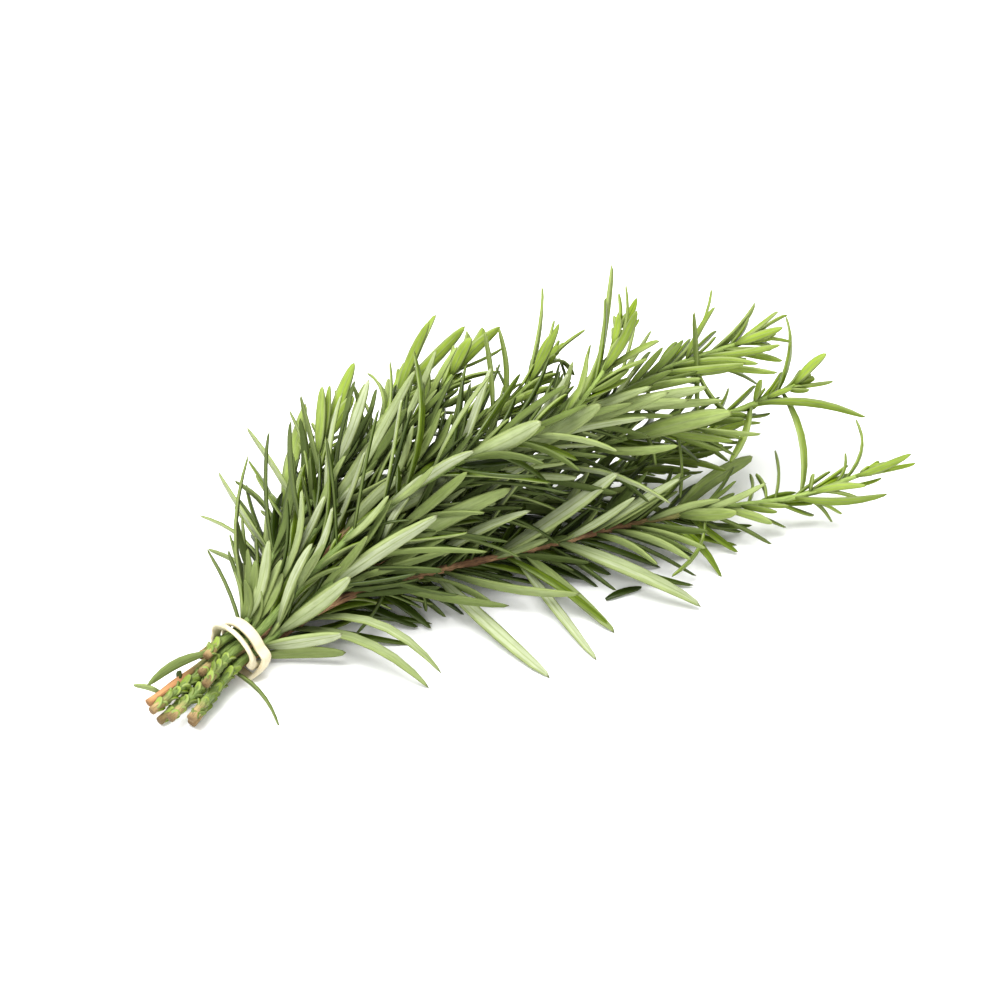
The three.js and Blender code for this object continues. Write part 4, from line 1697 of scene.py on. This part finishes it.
@dataclass
class Shader:
    """A material's nodes, added one by one."""

    name: str
    material: bpy.types.Material = field(init=False)

    def __post_init__(self) -> None:
        """Starts the material with a plain Principled surface."""
        self.material = bpy.data.materials.new(self.name)
        self.material.use_nodes = True

    @property
    def tree(self) -> bpy.types.NodeTree:
        """Returns the material's node tree."""
        return self.material.node_tree

    @property
    def surface(self) -> bpy.types.Node:
        """Returns the material's Principled node."""
        return self.tree.nodes["Principled BSDF"]

    def put(self, socket: bpy.types.NodeSocket, value: object) -> None:
        """Links an output to a socket, or sets the socket to a value.

        Args:
            socket: an input.
            value: an output, a number, a colour or a vector.
        """
        if isinstance(value, bpy.types.NodeSocket):
            self.tree.links.new(value, socket)
        elif isinstance(value, tuple) and socket.type == "RGBA":
            socket.default_value = (*value, 1.0)
        else:
            socket.default_value = value

    def held(self, name: str) -> bpy.types.NodeOutputs:
        """Reads what the mesh holds under a name.

        Args:
            name: the attribute's name.

        Returns:
            the node's outputs, the value as a number and as a vector among them.
        """
        node = self.tree.nodes.new("ShaderNodeAttribute")
        node.attribute_name = name
        return node.outputs

    def value(self, name: str) -> bpy.types.NodeSocket:
        """Returns what the mesh holds under a name, as a number."""
        return self.held(name)["Fac"]

    def vector(self, name: str) -> bpy.types.NodeSocket:
        """Returns what the mesh holds under a name, as a vector."""
        return self.held(name)["Vector"]

    def math(self, operation: str, *values: object) -> bpy.types.NodeSocket:
        """Works a sum on one or two values.

        Args:
            operation: which sum.
            values: its terms.

        Returns:
            the result.
        """
        node = self.tree.nodes.new("ShaderNodeMath")
        node.operation = operation
        for socket, value in zip(node.inputs, values):
            self.put(socket, value)
        return node.outputs[0]

    def window(self, value: object, low: float, high: float, start: float = 0.0, end: float = 1.0) -> object:
        """Takes a smooth step over a value.

        Args:
            value: the value.
            low: where the step begins.
            high: where it ends.
            start: the result before it.
            end: the result past it.

        Returns:
            the result.
        """
        node = self.tree.nodes.new("ShaderNodeMapRange")
        node.interpolation_type = "SMOOTHSTEP"
        for name, part in (
            ("Value", value),
            ("From Min", low),
            ("From Max", high),
            ("To Min", start),
            ("To Max", end),
        ):
            self.put(node.inputs[name], part)
        return node.outputs["Result"]

    def mix(self, share: object, first: object, second: object, blend: str = "MIX") -> bpy.types.NodeSocket:
        """Mixes two colours.

        Args:
            share: how much of the second there is.
            first: a colour.
            second: a colour.
            blend: how they mix.

        Returns:
            the colour.
        """
        node = self.tree.nodes.new("ShaderNodeMix")
        node.data_type = "RGBA"
        node.blend_type = blend
        for socket, value in ((node.inputs[0], share), (node.inputs[6], first), (node.inputs[7], second)):
            self.put(socket, value)
        return node.outputs[2]

    def noise(self, place: object, scale: float, detail: float = 3.0, rough: float = 0.55) -> object:
        """Makes a noise.

        Args:
            place: where it is read.
            scale: its fineness.
            detail: how many finer layers it has.
            rough: how strong they are.

        Returns:
            a value from about 0.3 to 0.7.
        """
        node = self.tree.nodes.new("ShaderNodeTexNoise")
        for name, value in (("Vector", place), ("Scale", scale), ("Detail", detail), ("Roughness", rough)):
            self.put(node.inputs[name], value)
        return node.outputs["Fac"]

    def place(self) -> bpy.types.NodeSocket:
        """Returns the place on the object, in metres."""
        return self.tree.nodes.new("ShaderNodeTexCoord").outputs["Object"]

    def bump(self, height: object, strength: float, distance: float) -> bpy.types.NodeSocket:
        """Makes normals for a height pattern.

        Args:
            height: the pattern.
            strength: how much of it shows.
            distance: its depth in metres.

        Returns:
            the normals.
        """
        node = self.tree.nodes.new("ShaderNodeBump")
        for name, value in (("Height", height), ("Strength", strength), ("Distance", distance)):
            self.put(node.inputs[name], value)
        return node.outputs["Normal"]

    def dress(self, **values: object) -> None:
        """Sets the surface's sockets, whose names have spaces in place of underscores."""
        for name, value in values.items():
            self.put(self.surface.inputs[name.replace("_", " ").title()], value)


@dataclass(frozen=True)
class LeafFinish:
    """A rosemary leaf: green and smooth above, pale felt below, light edges and midrib, and painted shade.

    Attributes:
        upper: the upper face, and young_upper near the stem's tip.
        felt: the lower face where it is felted, and young_felt near the stem's tip.
        thin_felt: the lower face of the leaves with the least felt.
        edge: the rolled edges seen from below.
        rib: the midrib seen from below.
        groove_shade: painted shade in the fold along the upper face.
        dry_tip: the very tip.
        shade: what streaks, dark-toned leaves and each foot are multiplied by: painted shade, but on the
            streaks.
        streak_scale: the fineness of the streaks along the leaf, and patch_scale of the patches.
        patch_weight: how much the patches add to the tone.
        turns_under: where across the edge the lower face starts and is full.
        thins: between which tones the felt thins.
        fold: how near to the middle the fold starts and is full.
        groove_share: the share of painted groove shade on the fold above, and rib_share of rib colour below.
        rolled: between which places across the edge's colour starts, and its shares there.
        streaked: between which values of the streaks they shade the leaf, and by what shares.
        young_ease: between which youths the shade of the tone eases, and to what share.
        toned: between which tones the leaf darkens, by its own tone and painted shade, and by what shares.
        foot_shade: between which places along its foot painted shade lies by the stem, and by what shares.
        dries: between which places along the tip is dry, and by what shares.
        fine_scale: the fineness of the surface.
        fine_weight: its part in the relief, and fold_weight the fold's.
        roughness: of the upper and of the lower face.
        relief: its strength and its depth in metres.
    """

    upper: Colour = (0.125, 0.18, 0.013)
    young_upper: Colour = (0.18, 0.255, 0.01)
    felt: Colour = (0.38, 0.42, 0.27)
    young_felt: Colour = (0.25, 0.34, 0.04)
    thin_felt: Colour = (0.23, 0.29, 0.09)
    edge: Colour = (0.25, 0.3, 0.11)
    rib: Colour = (0.25, 0.3, 0.12)
    groove_shade: Colour = (0.035, 0.07, 0.008)
    dry_tip: Colour = (0.12, 0.12, 0.03)
    shade: Colour = (0.15, 0.2, 0.022)
    streak_scale: float = 2.2
    patch_scale: float = 0.5
    patch_weight: float = 1.2
    turns_under: Window = (0.25, -0.35)
    thins: Window = (-0.2, 1.2)
    fold: Window = (0.12, 0.03)
    groove_share: float = 0.8
    rib_share: float = 0.75
    rolled: Window = (0.6, 0.76, 0, 0.85)
    streaked: Window = (0.3, 0.75, 0, 0.3)
    young_ease: Window = (0, 1, 1, 0.5)
    toned: Window = (0, 1.2, 0, 0.9)
    foot_shade: Window = (0.4, 0, 0, 0.6)
    dries: Window = (0.96, 1.0, 0, 0.6)
    fine_scale: float = 2600
    fine_weight: float = 0.4
    fold_weight: float = 0.5
    roughness: Window = (0.38, 0.8)
    relief: Window = (0.35, 0.0002)

    def make(self) -> bpy.types.Material:
        """Makes the material.

        Returns:
            the material.
        """
        shader = Shader("rosemary_leaf")
        across = shader.math("ABSOLUTE", shader.value("across"))
        below = shader.window(shader.value("upper"), *self.turns_under)
        youth, tone, along = (shader.value(name) for name in ("youth", "tone", "along"))
        streaks = shader.noise(shader.vector("grain"), self.streak_scale, 4)
        patches = shader.noise(shader.vector("grain"), self.patch_scale, 2)
        patched = shader.math("ADD", tone, shader.math("MULTIPLY", patches, self.patch_weight))
        upper = shader.mix(youth, self.upper, self.young_upper)
        under = shader.mix(shader.window(patched, *self.thins), self.felt, self.thin_felt)
        under = shader.mix(youth, under, self.young_felt)
        # The fold: painted shade in the groove above, the midrib's own colour below.
        middle = shader.window(across, *self.fold)
        upper = shader.mix(shader.math("MULTIPLY", middle, self.groove_share), upper, self.groove_shade)
        under = shader.mix(shader.math("MULTIPLY", middle, self.rib_share), under, self.rib)
        under = shader.mix(shader.window(across, *self.rolled), under, self.edge)
        colour = shader.mix(below, upper, under)
        colour = shader.mix(shader.window(streaks, *self.streaked), colour, self.shade, "MULTIPLY")
        # Painted shade on each leaf's foot by the stem, and darkening by tone: partly each leaf's own,
        # partly painted shade deep in the bunch, eased on young leaves.
        by_youth = shader.window(youth, *self.young_ease)
        by_tone = shader.math("MULTIPLY", shader.window(tone, *self.toned), by_youth)
        dark = shader.math("MAXIMUM", by_tone, shader.window(along, *self.foot_shade))
        colour = shader.mix(dark, colour, self.shade, "MULTIPLY")
        colour = shader.mix(shader.window(along, *self.dries), colour, self.dry_tip)
        fine = shader.noise(shader.place(), self.fine_scale, 2)
        height = shader.math("ADD", streaks, shader.math("MULTIPLY", fine, self.fine_weight))
        height = shader.math("ADD", height, shader.math("MULTIPLY", middle, self.fold_weight))
        shader.dress(
            base_color=colour,
            roughness=shader.window(below, 0, 1, *self.roughness),
            normal=shader.bump(height, *self.relief),
        )
        return shader.material


@dataclass(frozen=True)
class StemFinish:
    """A rosemary stem: yellow-green when young, then green, and brown flaky bark where woody.

    Attributes:
        green: the bark low on the stem, and young near its tip.
        bark: old bark, tan_bark in lighter tan patches and dark_bark in its cracks.
        fresh_cut: the cut end.
        peeled_wood: the wood without its bark.
        dark: what the green stem's fibres are multiplied by.
        fibre_scale: the fineness of the fibres, and patch_scale of the tan patches.
        fibred: between which values of the fibres they shade the green stem.
        tan_patches: between which values of the patches the bark is lighter tan.
        cracked: between which values of the fibres the bark is cracked.
        roughness: of the green stem and of bark.
        relief: its strength and its depth in metres.
    """

    green: Colour = (0.17, 0.24, 0.06)
    young: Colour = (0.3, 0.4, 0.1)
    bark: Colour = (0.2, 0.11, 0.055)
    tan_bark: Colour = (0.5, 0.31, 0.17)
    dark_bark: Colour = (0.07, 0.04, 0.022)
    fresh_cut: Colour = (0.15, 0.09, 0.035)
    peeled_wood: Colour = (0.5, 0.26, 0.12)
    dark: Colour = (0.55, 0.55, 0.5)
    fibre_scale: float = 3.5
    patch_scale: float = 130
    fibred: Window = (0.35, 0.7)
    tan_patches: Window = (0.42, 0.6)
    cracked: Window = (0.5, 0.68)
    roughness: Window = (0.55, 0.85)
    relief: Window = (0.7, 0.0004)

    def make(self) -> bpy.types.Material:
        """Makes the material.

        Returns:
            the material.
        """
        shader = Shader("rosemary_stem")
        grain = shader.vector("grain")
        fibres = shader.noise(grain, self.fibre_scale, 5, 0.65)
        patches = shader.noise(shader.place(), self.patch_scale, 3)
        green = shader.mix(shader.value("youth"), self.green, self.young)
        green = shader.mix(shader.window(fibres, *self.fibred), green, self.dark, "MULTIPLY")
        # Lighter tan patches, spread by noise over the bark.
        bark = shader.mix(shader.window(patches, *self.tan_patches), self.bark, self.tan_bark)
        bark = shader.mix(shader.window(fibres, *self.cracked), bark, self.dark_bark)
        colour = shader.mix(shader.value("wood"), green, bark)
        colour = shader.mix(shader.value("peeled"), colour, self.peeled_wood)
        colour = shader.mix(shader.value("cut"), colour, self.fresh_cut)
        shader.dress(
            base_color=colour,
            roughness=shader.window(shader.value("wood"), 0, 1, *self.roughness),
            normal=shader.bump(fibres, *self.relief),
        )
        return shader.material


@dataclass(frozen=True)
class BandFinish:
    """Cream latex: matte, slightly mottled, with a faint bloom.

    Attributes:
        cream: its colour, and amber where it is mottled.
        mottle_scale: the fineness of the mottling, and pore_scale of the pores.
        mottled: between which values of the mottling it is amber.
        roughness: between which values of the pores, and from what to what.
        relief: its strength and its depth in metres.
    """

    cream: Colour = (0.62, 0.56, 0.4)
    amber: Colour = (0.55, 0.46, 0.29)
    mottle_scale: float = 420
    pore_scale: float = 3000
    mottled: Window = (0.4, 0.75)
    roughness: Window = (0.3, 0.7, 0.45, 0.65)
    relief: Window = (0.2, 0.0001)

    def make(self) -> bpy.types.Material:
        """Makes the material.

        Returns:
            the material.
        """
        shader = Shader("cream_rubber")
        mottling = shader.noise(shader.place(), self.mottle_scale, 4)
        pores = shader.noise(shader.place(), self.pore_scale, 2)
        shader.dress(
            base_color=shader.mix(shader.window(mottling, *self.mottled), self.cream, self.amber),
            roughness=shader.window(pores, *self.roughness),
            normal=shader.bump(pores, *self.relief),
        )
        return shader.material


# ---- stage


@dataclass(frozen=True)
class Studio:
    """The camera, the white floor and the soft light.

    Attributes:
        camera_at: the camera, about the tie.
        azimuth: the way that it looks, from +Y towards -X.
        elevation: how far it looks down.
        lens: its focal length, on a sensor of sensor millimetres.
        floor_size: the side of the floor in metres, and floor_white its lightness.
        sky: the strength of the light all round.
        key_power: the main lamp's power in watts, with its side and place in metres.
        fill_power: the same for the lamp in front.
    """

    camera_at: Spot = (-241.92, -410.82, 524.40)
    azimuth: float = -37.0
    elevation: float = 45.0
    lens: float = 120.0
    sensor: float = 36.0
    floor_size: float = 6.0
    floor_white: float = 0.9
    sky: float = 0.66
    key_power: float = 29.0
    key_size: float = 0.9
    key_at: Spot = (-0.25, 0.15, 1.3)
    fill_power: float = 7.0
    fill_size: float = 0.8
    fill_at: Spot = (-0.9, -0.9, 0.9)

    def build(self, shift: np.ndarray) -> None:
        """Sets the stage.

        Args:
            shift: from the tie's frame to the model's.
        """
        self.add_camera(shift)
        self.add_floor()
        self.add_light()
        scene = bpy.context.scene
        scene.view_settings.view_transform = "Standard"
        scene.view_settings.look = "Medium High Contrast"

    def add_camera(self, shift: np.ndarray) -> None:
        """Adds the camera and makes it the scene's.

        Args:
            shift: from the tie's frame to the model's.
        """
        data = bpy.data.cameras.new("camera")
        data.lens = self.lens
        data.sensor_width = self.sensor
        camera = bpy.data.objects.new("camera", data)
        camera.location = tuple((np.array(self.camera_at) + shift) * MM)
        camera.rotation_euler = (math.radians(90 - self.elevation), 0, math.radians(self.azimuth))
        bpy.context.scene.collection.objects.link(camera)
        bpy.context.scene.camera = camera

    def add_floor(self) -> None:
        """Adds the plain white floor."""
        half = self.floor_size / 2
        mesh = bpy.data.meshes.new("floor")
        corners = [(-half, -half, 0), (half, -half, 0), (half, half, 0), (-half, half, 0)]
        mesh.from_pydata(corners, [], [(0, 1, 2, 3)])
        white = self.floor_white
        shader = Shader("white_floor")
        shader.dress(base_color=(white, white, white), roughness=1.0)
        shader.surface.inputs["Specular IOR Level"].default_value = 0.0
        mesh.materials.append(shader.material)
        floor = bpy.data.objects.new("floor", mesh)
        bpy.context.scene.collection.objects.link(floor)

    def add_light(self) -> None:
        """Adds a white sky all round, a large soft lamp above and a weaker one in front."""
        world = bpy.data.worlds.new("studio")
        world.use_nodes = True
        back = world.node_tree.nodes["Background"]
        back.inputs["Color"].default_value = (1, 1, 1, 1)
        back.inputs["Strength"].default_value = self.sky
        bpy.context.scene.world = world
        self.add_lamp("key", self.key_power, self.key_size, self.key_at)
        self.add_lamp("fill", self.fill_power, self.fill_size, self.fill_at)

    def add_lamp(self, name: str, power: float, size: float, place: Spot) -> None:
        """Adds a square lamp that looks at the bunch.

        Args:
            name: its name.
            power: its power in watts.
            size: its side in metres.
            place: where it is, in metres.
        """
        data = bpy.data.lights.new(name, "AREA")
        data.energy = power
        data.size = size
        lamp = bpy.data.objects.new(name, data)
        lamp.location = place
        lamp.rotation_euler = (-lamp.location).to_track_quat("-Z", "Y").to_euler()
        bpy.context.scene.collection.objects.link(lamp)


# ---- the whole bunch


@dataclass
class Sprig:
    """One sprig: its stem and its leaves.

    Attributes:
        plan: how it lies.
        number: which sprig it is.
        node: its node in the frame.
        shift: from the tie's frame to the model's.
        foliage: the rule of its leaves.
        placed: its leaves placed one by one that the node holds.
        leaves: all its leaves.
    """

    plan: SprigPlan
    number: int
    node: bpy.types.Object
    shift: np.ndarray
    foliage: Foliage = field(init=False)
    placed: list[Leaf] = field(init=False)
    leaves: list[Leaf] = field(init=False)

    def __post_init__(self) -> None:
        """Finds the leaves that the node holds."""
        self.foliage = Foliage(StemLine(self.plan), self.number, self.node_tips())
        self.placed = self.foliage.placed()
        self.leaves = self.placed + self.foliage.ruled()
        LOG.info("%s: %d leaves found in its node", self.plan.name, len(self.leaves))

    def node_tips(self) -> KDTree:
        """Reads the node's vertices, about the tie.

        Returns:
            a tree for finding the nearest.
        """
        mesh = self.node.data
        spots = np.empty(len(mesh.vertices) * 3, np.float32)
        mesh.vertices.foreach_get("co", spots)
        spots = spots.reshape(-1, 3) / MM - self.shift
        tree = KDTree(len(spots))
        for index, spot in enumerate(spots):
            tree.insert(spot, index)
        tree.balance()
        return tree

    def fill_out(self, thicket: Thicket, show: ShowSide) -> None:
        """Adds the leaves that no node holds.

        Args:
            thicket: what stands already.
            show: what they must not hide.
        """
        more = MoreLeaves(self.foliage, thicket, show)
        added = more.by_hand() + more.past_tie() + more.near_tip() + more.fill() + more.round_tip()
        added += more.bud_left() if self.plan.name == PEELED_SPRIG else more.stripped()
        self.leaves += added
        LOG.info("%s: %d leaves added", self.plan.name, len(added))

    def build(self, leaf: bpy.types.Material, stem: bpy.types.Material) -> None:
        """Makes the sprig's two pieces.

        Args:
            leaf: the material of its leaves.
            stem: that of its stem.
        """
        pairs = np.array(self.foliage.pairs())
        bare = Stem(self.foliage.line, pairs, self.number).piece()
        bare.build(self.shift, stem, self.plan.name, "leaf")
        blades = Blade().piece(f"{self.plan.name}_leaves", self.leaves)
        blades.build(self.shift, leaf, self.plan.name, "leaf")


def shift_of(band: RubberBand) -> np.ndarray:
    """Finds how the model's frame lies, from where the band is in it.

    Args:
        band: the band.

    Returns:
        the shift from the tie's frame to the model's, in millimetres.
    """
    low, high = (np.array(corner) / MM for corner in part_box("rubber_band"))
    source_low, source_high = band.source_box()
    return (low + high - source_low - source_high) / 2


def main() -> None:
    """Builds the whole scene in the frame."""
    logging.basicConfig(level=logging.INFO, format="%(name)s: %(message)s")
    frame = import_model()
    band = RubberBand()
    shift = shift_of(band)
    LOG.info("shift %s", np.round(shift, 4))
    band.piece().build(shift, BandFinish().make(), "rubber_band", "band")
    sprigs = [Sprig(plan, number, frame["nodes"][plan.name], shift) for number, plan in enumerate(SPRIGS)]
    sprigs[0].leaves.append(fallen_leaf())
    thicket, show = Thicket(), ShowSide()
    show.add_stem(sprigs[0].foliage.line, BARE_STRETCHES)
    for sprig in sprigs:
        for leaf in sprig.leaves:
            thicket.add(leaf)
        for leaf in sprig.placed:
            show.add_leaf(leaf)
    leaf_finish, stem_finish = LeafFinish().make(), StemFinish().make()
    for sprig in sprigs:
        sprig.fill_out(thicket, show)
        sprig.build(leaf_finish, stem_finish)
    Studio().build(shift)


if __name__ == "__main__":
    main()
